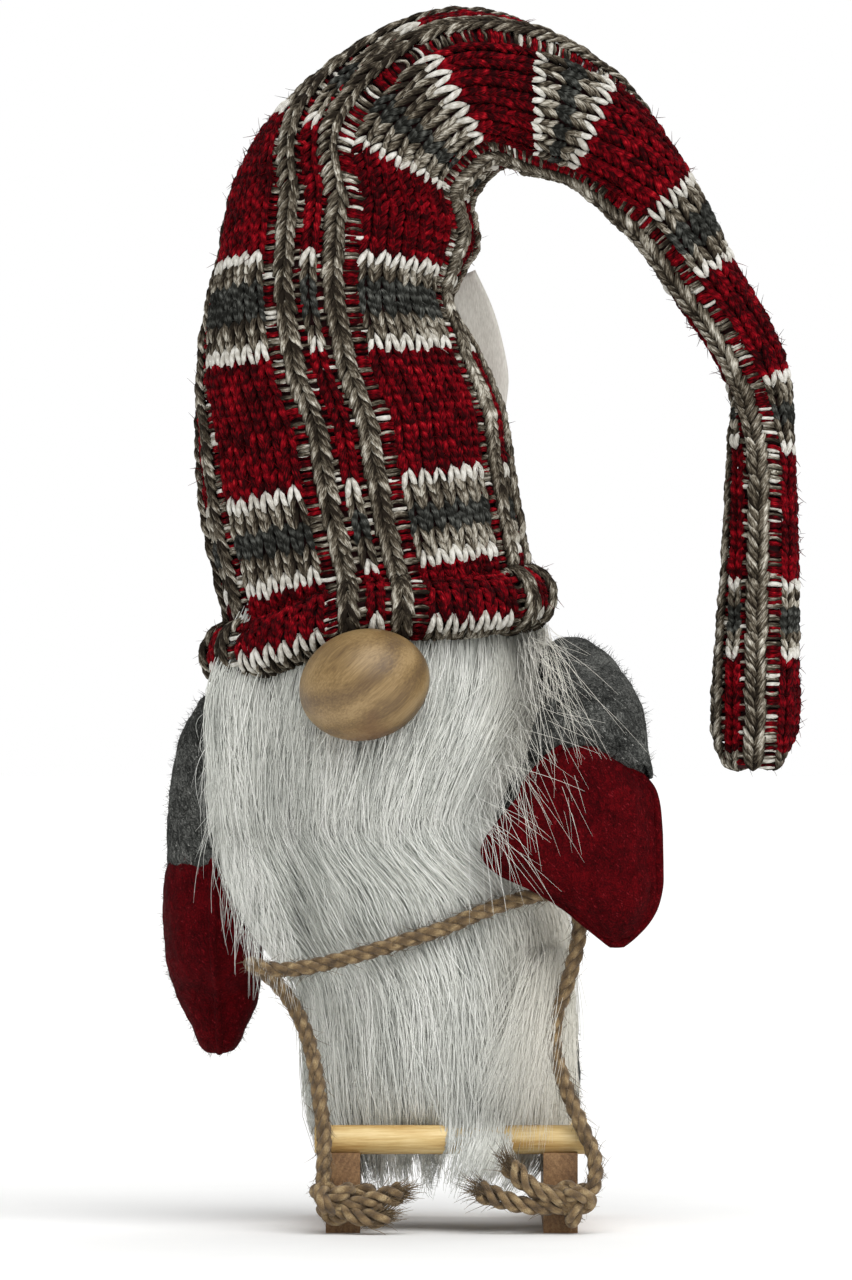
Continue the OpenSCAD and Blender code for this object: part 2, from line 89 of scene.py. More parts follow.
def through(points, steps):
    """A Catmull-Rom curve through the points, with that many steps between two of them."""
    p = np.asarray(points, float)
    p = np.vstack([p[:1], p, p[-1:]])
    t = (np.arange(steps) / steps)[:, None]
    pieces = [
        0.5 * (2 * b + (c - a) * t + (2 * a - 5 * b + 4 * c - d) * t**2 + (3 * b - a - 3 * c + d) * t**3)
        for a, b, c, d in zip(p, p[1:], p[2:], p[3:])
    ]
    return np.vstack(pieces + [p[-1:]])


def xyz(x, y, z):
    return np.stack(np.broadcast_arrays(x, y, z), -1)


def circle(count):
    """Angles of points spread evenly round a circle."""
    return TURN * np.arange(count) / count


def length_along(path):
    return np.concatenate([[0], np.cumsum(np.linalg.norm(np.diff(path, axis=0), axis=1))])


def evenly(path, count):
    along = length_along(path)
    at = np.linspace(0, along[-1], count)
    return np.stack([np.interp(at, along, path[:, k]) for k in range(path.shape[1])], 1)


def smooth_at(at, knots, values):
    """Values on a smooth curve through the given ones; at may have any shape."""
    at = np.asarray(at, float)
    knots = np.asarray(knots, float)
    values = np.asarray(values, float)
    slope = np.gradient(values, knots, axis=0)
    i = np.clip(np.searchsorted(knots, at, side="right") - 1, 0, len(knots) - 2)
    gap = (knots[i + 1] - knots[i])[..., None]
    t = (at - knots[i])[..., None] / gap
    return (
        values[i] * (2 * t**3 - 3 * t**2 + 1)
        + slope[i] * gap * (t**3 - 2 * t**2 + t)
        + values[i + 1] * (3 * t**2 - 2 * t**3)
        + slope[i + 1] * gap * (t**3 - t**2)
    )


def carried_frames(path):
    """Tangents and two sides square to them that turn as little as possible along the path."""
    tangent = unit(np.gradient(path, axis=0))
    side = np.cross(tangent[0], [0.31, 0.2, 0.93])
    sides = []
    for t in tangent:
        side = unit(side - np.dot(side, t) * t)
        sides.append(side)
    sides = np.array(sides)
    return tangent, sides, np.cross(tangent, sides)


# ---- meshes
class Shape:
    """Vertices in millimetres with faces, a shade and a place in the yarn for each, and material numbers."""

    def __init__(self, verts, faces, shade=None, ply=None, paint=None):
        self.verts = verts
        self.faces = faces
        self.shade = np.zeros(len(verts)) if shade is None else shade
        self.ply = np.zeros((len(verts), 3)) if ply is None else ply
        self.paint = [np.zeros(len(f), int) for f in faces] if paint is None else paint


def joined(shapes):
    starts = np.cumsum([0] + [len(s.verts) for s in shapes])
    verts = np.vstack([s.verts for s in shapes])
    faces = [f + start for s, start in zip(shapes, starts) for f in s.faces]
    shade = np.concatenate([s.shade for s in shapes])
    ply = np.vstack([s.ply for s in shapes])
    return Shape(verts, faces, shade, ply, [p for s in shapes for p in s.paint])


def grid(rings, points):
    """Faces between rings of points, each ring closed on itself, seen from outside when the rings go up."""
    first = (np.arange(rings - 1) * points)[:, None]
    j = np.arange(points)
    k = (j + 1) % points
    return np.stack([first + j, first + k, first + points + k, first + points + j], -1).reshape(-1, 4)


def tubes(paths, radii, sides, shade=None, paint=None, up=(0.02, 1, 0.13), flat=1.0):
    """Closed tapered tubes. paths is (tubes, rings, 3) and radii is (tubes, rings)."""
    count, rings, _ = paths.shape
    tangent = unit(np.gradient(paths, axis=1))
    side = unit(np.cross(tangent, np.broadcast_to(up, paths.shape)))
    top = np.cross(side, tangent)
    angle = circle(sides)
    around = np.cos(angle)[:, None] * side[:, :, None] + flat * np.sin(angle)[:, None] * top[:, :, None]
    verts = (paths[:, :, None] + radii[..., None, None] * around).reshape(-1, 3)
    first = (np.arange(count) * rings * sides)[:, None]
    quads = (first[:, None] + grid(rings, sides)[:, [0, 3, 2, 1]]).reshape(-1, 4)
    start = first + np.arange(sides)
    end = first + (rings - 1) * sides + np.arange(sides)[::-1]
    steps = np.linalg.norm(np.diff(paths, axis=1), axis=2)
    along = np.concatenate([np.zeros((count, 1)), np.cumsum(steps, axis=1)], 1)
    ply = np.empty((count, rings, sides, 3))
    ply[..., 0] = np.cos(angle)
    ply[..., 1] = np.sin(angle)
    ply[..., 2] = along[:, :, None]
    shade = np.zeros(count) if shade is None else np.asarray(shade, float)
    paint = np.zeros(count, int) if paint is None else np.asarray(paint)
    paints = [np.repeat(paint, (rings - 1) * sides), paint, paint]
    return Shape(verts, [quads, start, end], np.repeat(shade, rings * sides), ply.reshape(-1, 3), paints)


def lofted(rings):
    """A closed skin through a stack of rings, (rings, points, 3), anticlockwise as seen from the end."""
    rings = np.asarray(rings, float)
    count, n, _ = rings.shape
    j = np.arange(n)
    return Shape(rings.reshape(-1, 3), [grid(count, n), j[::-1][None], (j + (count - 1) * n)[None]])


def add_mesh(name, shape, materials):
    """A piece with the shape, whose places are kept in metres."""
    mesh = bpy.data.meshes.new(name)
    loops = np.concatenate([f.ravel() for f in shape.faces]).astype(np.int32)
    sizes = np.concatenate([np.full(len(f), f.shape[1]) for f in shape.faces])
    starts = np.concatenate([[0], np.cumsum(sizes)[:-1]]).astype(np.int32)
    mesh.vertices.add(len(shape.verts))
    mesh.vertices.foreach_set("co", (shape.verts * MM).astype(np.float32).ravel())
    mesh.loops.add(len(loops))
    mesh.loops.foreach_set("vertex_index", loops)
    mesh.polygons.add(len(sizes))
    mesh.polygons.foreach_set("loop_start", starts)
    mesh.polygons.foreach_set("material_index", np.concatenate(shape.paint).astype(np.int32))
    mesh.polygons.foreach_set("use_smooth", np.ones(len(sizes), bool))
    mesh.update(calc_edges=True)
    shade = mesh.attributes.new("shade", "FLOAT", "POINT")
    shade.data.foreach_set("value", shape.shade.astype(np.float32))
    ply = mesh.attributes.new("ply", "FLOAT_VECTOR", "POINT")
    ply.data.foreach_set("vector", shape.ply.astype(np.float32).ravel())
    for material in materials:
        mesh.materials.append(material)
    piece = bpy.data.objects.new(name, mesh)
    scene.collection.objects.link(piece)
    return piece


def read_points(points, key):
    flat = np.empty(len(points) * 3, np.float32)
    points.foreach_get(key, flat)
    return flat.reshape(-1, 3).astype(float)


def places(piece):
    return read_points(piece.data.vertices, "co")


def normals(piece):
    return read_points(piece.data.vertex_normals, "vector")


def move_to(piece, points):
    piece.data.vertices.foreach_set("co", points.astype(np.float32).ravel())
    piece.data.update()


def apply_modifiers(piece):
    graph = bpy.context.evaluated_depsgraph_get()
    shaped = bpy.data.meshes.new_from_object(piece.evaluated_get(graph))
    piece.modifiers.clear()
    piece.data = shaped


def waves(points, size, seed):
    """Smooth hills of about -1 to 1 over points in millimetres; size is about the width of one hill."""
    turns = np.random.default_rng(seed)
    value = np.zeros(len(points))
    for _ in range(7):
        direction = unit(turns.normal(size=3)) * TURN / (size * turns.uniform(1.3, 2.4))
        value += np.sin(points @ direction + turns.uniform(0, TURN))
    return value / 3


def strands(roots, aims, lengths, radius, bend, paint=None):
    """Thin tapered fibres from roots along aims, each bent its own way."""
    count, rings, sides = len(roots), 4, 3
    t = np.linspace(0, 1, rings)[None, :, None]
    curl = unit(rng.normal(size=(count, 3)))[:, None] * bend * lengths[:, None, None]
    paths = roots[:, None] + aims[:, None] * lengths[:, None, None] * t + curl * t**2
    taper = radius * (1 - 0.75 * np.linspace(0, 1, rings) ** 2)
    radii = np.broadcast_to(taper, (count, rings)) * uniform(0.7, 1.2, (count, 1))
    return tubes(paths, radii, sides, uniform(0, 1, count), paint, (0.2, 1, 0.13))


# ---- materials
class Shader:
    """A material whose look is worked out by nodes."""

    def __init__(self, name, **inputs):
        self.material = bpy.data.materials.new(name)
        self.material.use_nodes = True
        self.tree = self.material.node_tree
        self.surface = self.fill(self.tree.nodes["Principled BSDF"], **inputs)

    def put(self, socket, value):
        if isinstance(value, bpy.types.NodeSocket):
            self.tree.links.new(value, socket)
        else:
            socket.default_value = value

    def fill(self, node, **inputs):
        for key, value in inputs.items():
            self.put(node.inputs[key.replace("_", " ")], value)
        return node

    def node(self, kind, *values, **settings):
        made = self.tree.nodes.new("ShaderNode" + kind)
        for key, value in settings.items():
            setattr(made, key, value)
        for socket, value in zip(made.inputs, values):
            if value is not None:
                self.put(socket, value)
        return made

    def math(self, operation, *values):
        return self.node("Math", *values, operation=operation).outputs[0]

    def scaled(self, value, factor, rest):
        """value * factor + rest."""
        return self.math("MULTIPLY_ADD", value, factor, rest)

    def place(self, stretch=(1, 1, 1), turn=(0, 0, 0)):
        """Places on the piece in millimetres, stretched and turned."""
        at = self.node("TexCoord").outputs["Object"]
        scale = tuple(1000 * s for s in stretch)
        turned = self.node("Mapping", at, (0, 0, 0), turn, (1, 1, 1)).outputs[0]
        return self.node("Mapping", turned, (0, 0, 0), (0, 0, 0), scale).outputs[0]

    def noise(self, size, detail=3, roughness=0.55, stretch=(1, 1, 1), turn=(0, 0, 0), distortion=0.0):
        made = self.node("TexNoise")
        self.fill(made, Vector=self.place(stretch, turn), Scale=1 / size, Detail=detail)
        return self.fill(made, Roughness=roughness, Distortion=distortion).outputs["Fac"]

    def named(self, name):
        return self.node("Attribute", attribute_name=name, attribute_type="GEOMETRY")

    def ramp(self, value, *stops):
        made = self.node("ValToRGB", value)
        elements = made.color_ramp.elements
        while len(elements) < len(stops):
            elements.new(0.5)
        for element, (at, color) in zip(elements, stops):
            element.position = at
            element.color = color
        return made.outputs[0]

    def mask(self, value, low, high, top=1):
        """Black below low, rising to a grey of top at high."""
        return self.ramp(value, (low, (0, 0, 0, 1)), (high, (top, top, top, 1)))

    def blend(self, share, low, high):
        made = self.node("Mix", data_type="RGBA", blend_type="MIX")
        for socket, value in zip((0, 6, 7), (share, low, high)):
            self.put(made.inputs[socket], value)
        return made.outputs[2]

    def color(self, value):
        self.fill(self.surface, Base_Color=value)

    def bump(self, height, depth):
        """depth is how far the surface rises for a height of 1, in millimetres."""
        made = self.fill(self.node("Bump"), Strength=1.0, Distance=depth * MM, Height=height)
        self.fill(self.surface, Normal=made.outputs[0])


def twist(shader, pitch):
    """-1 to 1 across each of the two plies of a twisted yarn, from its place in the yarn."""
    part = shader.node("SeparateXYZ", shader.named("ply").outputs["Vector"])
    turn = shader.math("MULTIPLY", part.outputs[2], TURN / pitch)
    across = shader.math("MULTIPLY", part.outputs[0], shader.math("COSINE", turn))
    return shader.scaled(part.outputs[1], shader.math("SINE", turn), across)


def fibres(shader):
    """Streaks that run along a yarn, different in each stitch."""
    part = shader.node("SeparateXYZ", shader.named("ply").outputs["Vector"])
    own = shader.named("shade").outputs["Fac"]
    reach = shader.scaled(part.outputs[2], 0.22, shader.math("MULTIPLY", own, 40))
    at = shader.node("CombineXYZ", part.outputs[0], part.outputs[1], reach).outputs[0]
    made = shader.fill(shader.node("TexNoise"), Vector=at, Scale=2.6, Detail=4, Roughness=0.65)
    return made.outputs["Fac"]


def yarn(name, stops, pitch=2.6, groove=0.5, ply_share=0.12, own_share=0.24):
    """Wool yarn; stops are its colours from the dark of the twist to its light fibres."""
    shader = Shader(name, Roughness=0.9, Specular_IOR_Level=0.08)
    wave = twist(shader, pitch)
    streak = fibres(shader)
    broad = shader.noise(2.4, 2)
    own = shader.named("shade").outputs["Fac"]
    mixed = shader.scaled(streak, 1.5, shader.scaled(wave, ply_share, -0.5))
    mixed = shader.scaled(own, own_share, mixed)
    mixed = shader.scaled(broad, 0.3, shader.math("ADD", mixed, -0.27))
    shader.color(shader.ramp(mixed, *stops))
    ridge = shader.math("ABSOLUTE", wave)
    shader.bump(shader.scaled(ridge, groove, streak), 0.4)
    return shader.material


def felt(name, dark, middle, light, flecks):
    """Pressed wool felt with fibres of several shades."""
    shader = Shader(name, Roughness=0.95, Specular_IOR_Level=0.08)
    fine = shader.noise(0.45, 4, 0.7)
    threads = shader.noise(1.3, 4, 0.75, (1, 1, 0.4), (0.4, 0.3, 0), 1.5)
    broad = shader.noise(9, 3)
    mixed = shader.scaled(threads, 0.55, shader.math("MULTIPLY", fine, 0.45))
    mixed = shader.scaled(broad, 0.25, shader.math("ADD", mixed, -0.12))
    base = shader.ramp(mixed, (0.36, dark), (0.5, middle), (0.62, light))
    spot = shader.mask(shader.noise(0.7, 3, 0.7, (1, 1, 0.3), (0, 0.7, 0.2)), 0.62, 0.7)
    shader.color(shader.blend(spot, base, flecks))
    shader.bump(shader.scaled(threads, 1.2, fine), 0.5)
    return shader.material


def hair():
    shader = Shader("fur", Roughness=0.5, Sheen_Weight=0.2)
    own = shader.named("shade").outputs["Fac"]
    clump = shader.noise(10, 3, 0.6, (1, 1, 0.35))
    mixed = shader.scaled(own, 0.7, shader.scaled(clump, 0.9, -0.3))
    stops = (0.1, rgb(184, 186, 179)), (0.4, rgb(222, 224, 217)), (0.62, rgb(240, 241, 234))
    tone = shader.ramp(mixed, *stops, (0.85, rgb(254, 254, 249)))
    # Painted light: towards the right the fur is tinted warm ivory, as on the side where the light falls.
    across = shader.node("SeparateXYZ", shader.place()).outputs[0]
    lit_side_warmth = shader.mask(shader.scaled(across, 0.02, 0.35), 0.3, 0.75)
    shader.color(shader.blend(shader.math("MULTIPLY", lit_side_warmth, 0.6), tone, rgb(238, 232, 216)))
    return shader.material


def wood(name, tones, along, ring, roughness, coat, rings_share, turn=(0, 0, 0), bend=3.5, patch=None):
    """Wood with rings and pores; tones go from dark to light, the grain along that axis after the turn."""
    shader = Shader(name, Roughness=roughness, Coat_Weight=coat, Coat_Roughness=0.3)

    def stretched(share):
        return tuple(share if k == along else 1 for k in range(3))

    warp = shader.noise(6, 2, 0.5, stretched(0.2), turn)
    rings = shader.node("TexWave", wave_type="RINGS", rings_direction="XYZ"[along])
    shader.fill(rings, Vector=shader.place(stretched(0.15), turn), Scale=0.3 / ring)
    shader.fill(rings, Distortion=bend, Detail=2, Detail_Scale=0.6)
    pores = shader.noise(0.55, 4, 0.65, stretched(0.06), turn)
    mixed = shader.scaled(rings.outputs["Fac"], rings_share, shader.math("MULTIPLY", warp, 0.42))
    mixed = shader.scaled(pores, 0.6, shader.math("ADD", mixed, -0.08 - rings_share / 2))
    tone = shader.ramp(mixed, (0.28, tones[0]), (0.44, tones[1]), (0.62, tones[2]))
    if patch:
        share, color = patch(shader)
        tone = shader.blend(share, tone, color)
    shader.color(tone)
    shader.bump(pores, 0.12)
    return shader.material


def nose_low_patch(shader):
    """A darker patch low in the middle of the nose."""
    part = shader.node("SeparateXYZ", shader.place())
    low = shader.scaled(part.outputs[2], -0.075, 11.9)
    side = shader.math("ABSOLUTE", shader.scaled(part.outputs[0], 0.055, 1.75))
    share = shader.math("SUBTRACT", low, side)
    share = shader.scaled(shader.noise(5, 3), 0.8, shader.math("ADD", share, -0.6))
    return shader.mask(share, 0.2, 0.75, 0.75), rgb(104, 70, 38)


def jute():
    shader = Shader("jute", Roughness=0.9, Sheen_Weight=0.15)
    wave = twist(shader, 5.0)
    streak = shader.noise(0.3, 3, 0.7)
    broad = shader.noise(3, 2)
    own = shader.named("shade").outputs["Fac"]
    mixed = shader.scaled(streak, 0.7, shader.math("MULTIPLY", wave, 0.12))
    mixed = shader.scaled(own, 0.2, shader.math("ADD", mixed, -0.12))
    mixed = shader.scaled(broad, 0.35, mixed)
    stops = (0.2, rgb(64, 49, 32)), (0.45, rgb(116, 93, 62)), (0.62, rgb(148, 123, 85))
    shader.color(shader.ramp(mixed, *stops, (0.8, rgb(198, 174, 132))))
    shader.bump(shader.scaled(shader.math("ABSOLUTE", wave), 0.5, streak), 0.4)
    return shader.material


def satin():
    shader = Shader("label_satin", Roughness=0.42, Sheen_Weight=0.3)
    ribs = shader.noise(0.35, 2, 0.5, (1, 1, 0.2))
    shader.color(shader.ramp(ribs, (0.3, rgb(204, 199, 189)), (0.7, rgb(228, 224, 215))))
    shader.bump(ribs, 0.12)
    return shader.material


def plain_stuff(name, dark, light, size, roughness, metal=0.0):
    """Material of a piece that the outside hides: card, wadding, calico and wire; also of the dark sheet of
    painted shade under the knitting.
    """
    shader = Shader(name, Roughness=roughness, Metallic=metal)
    grain = shader.noise(size, 4, 0.7)
    shader.color(shader.ramp(grain, (0.35, dark), (0.65, light)))
    shader.bump(grain, 0.3)
    return shader.material


RED, WHITE, MARL, CHARCOAL = range(4)
RED_STOPS = (0.14, rgb(38, 0, 2)), (0.38, rgb(98, 0, 10)), (0.6, rgb(144, 4, 20)), (0.82, rgb(206, 44, 50))
WHITE_STOPS = (0.05, rgb(186, 181, 170)), (0.35, rgb(226, 223, 214)), (0.75, rgb(246, 244, 239))
MARL_STOPS = (
    (0.12, rgb(34, 28, 22)), (0.33, rgb(78, 70, 58)), (0.5, rgb(126, 118, 104)), (0.65, rgb(186, 180, 166)),
    (0.85, rgb(232, 228, 216)),
)
CHARCOAL_STOPS = (
    (0.12, rgb(30, 30, 27)), (0.4, rgb(68, 69, 65)), (0.62, rgb(102, 103, 98)), (0.85, rgb(172, 170, 162)),
)
YARNS = [
    yarn("yarn_red", RED_STOPS, own_share=0.34),
    yarn("yarn_white", WHITE_STOPS, groove=0.3),
    yarn("yarn_marl", MARL_STOPS, 9, 0.6, 0.2, 0.34),
    yarn("yarn_charcoal", CHARCOAL_STOPS, ply_share=0.18),
]
# Painted shade: a dark red sheet under the knitting stands for the shade between the stitches.
KNIT_SHADE_SHEET = plain_stuff("knit_shadow", rgb(36, 6, 8), rgb(58, 12, 14), 1.2, 0.95)
GREY_FELT = felt("grey_felt", rgb(14, 15, 14), rgb(60, 61, 59), rgb(118, 119, 115), rgb(172, 172, 167))
RED_FELT = felt("red_felt", rgb(34, 0, 1), rgb(70, 0, 5), rgb(104, 4, 12), rgb(138, 30, 38))
FUR = hair()
NOSE_TONES = rgb(100, 76, 44), rgb(130, 104, 63), rgb(158, 131, 88)
NOSE_WOOD = wood("nose_wood", NOSE_TONES, 0, 9, 0.45, 0.1, 0.22, (0.5, 0.75, 0.2), 5, nose_low_patch)
DOWEL_TONES = rgb(188, 148, 84), rgb(214, 184, 122), rgb(234, 210, 156)
DOWEL_WOOD = wood("dowel_wood", DOWEL_TONES, 0, 4, 0.5, 0.1, 0.16)
RUNNER_TONES = rgb(96, 66, 38), rgb(130, 96, 60), rgb(156, 122, 82)
RUNNER_WOOD = wood("runner_wood", RUNNER_TONES, 1, 1.7, 0.6, 0.0, 0.06)
JUTE = jute()
SATIN = satin()
HIDDEN_MATERIALS = {
    "card": plain_stuff("card", rgb(168, 148, 112), rgb(202, 184, 146), 1.0, 0.9),
    "fibre_fill": plain_stuff("fibre_fill", rgb(214, 214, 210), rgb(244, 244, 240), 2.0, 0.95),
    "pellet_cloth": plain_stuff("pellet_cloth", rgb(196, 190, 176), rgb(222, 217, 205), 0.6, 0.9),
    "wire": plain_stuff("wire", rgb(120, 122, 124), rgb(160, 162, 164), 0.5, 0.35, 1.0),
}


def dress(node, material):
    """Gives a carried-over node of the frame its material."""
    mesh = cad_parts[node].data
    mesh.materials.clear()
    mesh.materials.append(material)


# ---- rope and knots
ROPE_D = 4.7
ROPE_R = ROPE_D / 2
# From the left runner up to the left hand, across the belly, to the right hand and down to the right runner
ROPE_ROUTE = [
    [-46.5, -59, 12], [-46.2, -56.5, 20], [-46.2, -53, 29], [-47.4, -50.6, 38], [-48.8, -46.5, 48],
    [-51.2, -41.5, 57], [-54.8, -37, 65], [-60, -34.5, 72], [-65.4, -36.4, 76.6], [-67.6, -42, 78.2],
    [-65, -47.4, 77.6], [-59, -49.6, 76.6], [-50, -50, 77.6], [-36, -49.4, 81], [-24, -49, 84.6],
    [-12, -48.4, 88.4], [-3, -47.4, 92.2], [6, -45.6, 95.6], [15, -43.8, 98], [21.5, -43.2, 98.6],
    [26.6, -43.2, 95.6], [28.4, -43.2, 90], [27.2, -43.2, 81.6], [24.6, -43.4, 72], [21.6, -44, 63],
    [20.9, -45.4, 54], [24, -48.6, 43], [28.6, -51.8, 31.6], [32.4, -55, 22.6], [32.4, -58, 14.6],
    [28.6, -59.6, 9],
]
LAY_PITCH = 13.5        # length of one whole turn of a ply
KNOT_SIZE = 1.75


def rope_shape(path, splay=0):
    """Three plies laid round a path; splay opens them towards the far end."""
    along = length_along(path)
    _, a, b = carried_frames(path)
    ply_radius = 0.5 * ROPE_R
    paths = []
    for q in range(3):
        turn = (TURN * (q / 3 + along / LAY_PITCH))[:, None]
        paths.append(path + (ROPE_R - ply_radius + splay) * (np.cos(turn) * a + np.sin(turn) * b))
    radii = np.full((3, len(path)), ply_radius)
    return tubes(np.array(paths), radii, 9, uniform(0, 1, 3), up=np.stack([b] * 3))


def jute_fuzz(path, per_mm, length):
    """Loose fibres that stand out of the rope."""
    count = int(length_along(path)[-1] * per_mm)
    at = rng.integers(0, len(path), count)
    tangent, a, b = carried_frames(path)
    turn = uniform(0, TURN, count)[:, None]
    out = np.cos(turn) * a[at] + np.sin(turn) * b[at]
    aims = unit(out * uniform(0.1, 0.8, (count, 1)) + tangent[at] * rng.choice([-1, 1], (count, 1)))
    return strands(path[at] + out * ROPE_R * 0.8, aims, length * uniform(0.3, 1, count), 0.09, 0.35)


def make_rope():
    path = evenly(through(ROPE_ROUTE, 8), 420)
    rope = add_mesh("rope_strand", rope_shape(path), [JUTE])
    fuzz = add_mesh("rope_fibres", jute_fuzz(path, 4.5, 5), [JUTE])
    for piece in (rope, fuzz):
        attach(piece, "figure")
    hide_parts("rope")
    return rope, fuzz, path


def knot_path(at, tilt):
    """A trefoil, the shape that a pulled overhand knot closes to."""
    t = np.linspace(0, TURN, 121)
    loop = xyz(np.sin(t) + 2 * np.sin(2 * t), np.cos(t) - 2 * np.cos(2 * t), -1.4 * np.sin(3 * t))
    turned = loop @ np.array(Matrix.Rotation(tilt[0], 3, "X") @ Matrix.Rotation(tilt[1], 3, "Y")).T
    return np.array(at) + KNOT_SIZE * turned


def lashing_path(x):
    """Through the hole in the runner and back round its nose."""
    runner_half, runner_front, hole_back, hole_height = 5, -52, -44, 12
    half = runner_half + ROPE_R + 0.2
    front, back = runner_front - ROPE_R - 0.2, hole_back
    t = np.linspace(0, TURN, 90)
    corner = 0.32       # 1 would be an ellipse; smaller is squarer
    cx, cy = np.cos(t), np.sin(t)
    across = np.sign(cx) * np.abs(cx) ** corner
    deep = np.sign(cy) * np.abs(cy) ** corner
    mid = (front + back) / 2
    return xyz(x + half * across, mid + (back - front) / 2 * deep, hole_height)


def tail_shape(points):
    """A frayed end: three plies that open, with loose fibres."""
    path = evenly(through(points, 12), 40)
    shape = rope_shape(path, 1.3 * np.linspace(0, 1, len(path))[:, None] ** 2)
    aim = unit(path[-1] - path[-4])
    count = 220
    roots = path[-1] - aim * uniform(0, 6, (count, 1)) + rng.normal(0, 1.0, (count, 3))
    aims = unit(aim + rng.normal(0, 0.3, (count, 3)))
    return [shape, strands(roots, aims, uniform(3, 8, count), 0.13, 0.3), jute_fuzz(path, 4, 4)]


KNOTS = {
    "left": dict(
        runner=-40.7, at=(-43.1, -59, 9.6), tilt=(1.9, 0.5),
        tails=[
            [(-43, -59.5, 8), (-36, -61, 9), (-30, -61, 10.5), (-24, -60.5, 12)],
            [(-43, -59, 8), (-37, -62, 5.5), (-32, -62.5, 4.8), (-28.5, -62, 6)],
        ],
    ),
    "right": dict(
        runner=22.7, at=(26.1, -59, 9.2), tilt=(1.8, -0.6),
        tails=[
            [(26, -59, 8), (16, -61, 8), (8, -61, 9.5), (-0.6, -60.5, 12.5)],
            [(26, -60, 9), (18, -62, 12), (12, -61.6, 15.5), (8.2, -61, 20)],
        ],
    ),
}


def make_knot(side):
    facts = KNOTS[side]
    knot = evenly(knot_path(facts["at"], facts["tilt"]), 150)
    lash = evenly(lashing_path(facts["runner"]), 110)
    shapes = [rope_shape(knot), rope_shape(lash), jute_fuzz(knot, 2, 4), jute_fuzz(lash, 1.5, 4)]
    for tail in facts["tails"]:
        shapes += tail_shape(tail)
    piece = add_mesh("knot_" + side, joined(shapes), [JUTE])
    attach(piece, "figure")
    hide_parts("rope_knot_" + side)
    return piece


rope, rope_fibres, rope_path = make_rope()
knots = [make_knot(side) for side in KNOTS]

# ---- hat
# Rings of the hat: row of stitches, outer point (x, z), inner point, half depth, rise of the front
HAT_RINGS = [
    (-1, (-73, 167), (13.5, 189), 36.6, 4),
    (3, (-76, 184), (12, 199), 36.4, 2),
    (10, (-81.2, 208.8), (8.2, 222), 35, 2),
    (17, (-82.6, 230), (5, 240), 33.4, 3),
    (24, (-82.4, 252), (-2.6, 257), 31.4, 4),
    (30, (-79, 274), (-9.8, 273), 29, 6),
    (33, (-77, 283), (-7, 280), 28.2, 6),
    (39, (-72.5, 306), (-2.5, 289), 27.4, 4),
    (46, (-59, 328.4), (-4, 300), 25.6, 2),
    (51, (-43.5, 342), (-0.8, 306.4), 24, 0),
    (55, (-22.5, 353), (3.8, 311), 21.8, 0),
    (65, (16.5, 351.6), (15.6, 309.4), 16.4, 0),
    (72, (38, 338), (25.4, 307.6), 14, 0),
    (83, (61.6, 308), (44.5, 290), 11, 0),
    (91, (72.9, 285.4), (54.9, 275), 9.6, 0),
    (104, (90, 250), (72.9, 245.4), 7.9, 0),
    (111, (91.4, 228), (73.6, 231), 7.9, 0),
    (125, (92.6, 188), (71.6, 189), 8.7, 0),
    (133, (92.6, 168), (70.1, 168.5), 8.9, 0),
    (143, (90.6, 141), (70.2, 141), 8.5, 0),
    (146, (86.5, 134), (73.2, 134), 5.4, 0),
]
HAT_ROWS = (
    "RRR" "WMMGGMMW" "RRRRRRRRRRRRR" "WMMGGGMMW" "RRRRRRRRRRRRR" "WMMMGGMMMW" "RRRRRRRRR" "WMMGGMMW"
    "RRRRRRRRRR" "WMMGGGMMW" "RRRRRRRRRRRR" "WMMGGMMW" "RRRRRRRRRRRRR" "WMMGGGMMW" "RRRRRRRRRRMM"
)
YARN_OF = {"R": RED, "W": WHITE, "M": MARL, "G": CHARCOAL}
# Row, and how far round from the middle of the front column 0 stands; row, and width of a column
CHAIN_DRIFT = [
    (0, 6), (16, 4.5), (22, 1.5), (30, 0.7), (39, -3.9), (46, -12.6), (55, -20), (70, -21.5), (83, -30),
    (91, -31), (104, -32), (112, -36), (147, -36.5),
]
COLUMN_PITCH = [(0, 4.3), (40, 4.4), (50, 4.7), (60, 5), (75, 4.8), (95, 4.2), (147, 4.1)]
# Of each 12 columns, 0 and 9 are raised chains of marl, 1, 8 and 10 are open gaps, and 11 is moved to
# stand midway between two chains
CHAIN_EVERY, CHAIN_SECOND, BETWEEN = 12, 9, 11
OPEN_COLUMNS = (1, 8, 10)
STITCH_STAND = 1.1      # how far the stitches stand out from the fabric's own surface


def hat_ring(row):
    """Left or outer point, right or inner point, half depth and rise of the ring of a row."""
    knots = [r[0] for r in HAT_RINGS]
    values = [[*r[1], *r[2], r[3] - STITCH_STAND, r[4]] for r in HAT_RINGS]
    return smooth_at(row, knots, values)


def hat_point(row, offset):
    """Point on the hat at a row, that many millimetres round from the middle of the front."""
    ring = hat_ring(row)
    centre = (ring[..., 0:2] + ring[..., 2:4]) / 2
    half = (ring[..., 2:4] - ring[..., 0:2]) / 2
    half = half - STITCH_STAND * unit(half)
    depth = ring[..., 4]
    mean = np.sqrt((np.sum(half**2, -1) + depth**2) / 2)
    angle = offset / mean - math.pi / 2
    across = np.cos(angle)[..., None] * half + centre
    rise = -ring[..., 5] * np.sin(angle)
    return xyz(across[..., 0], depth * np.sin(angle), across[..., 1] + rise)


def hat_round(row):
    """How far round it is from the front of a row to its back."""
    ring = hat_ring(row)
    half = (ring[..., 2:4] - ring[..., 0:2]) / 2
    return math.pi * np.sqrt((np.sum(half**2, -1) + ring[..., 4] ** 2) / 2)


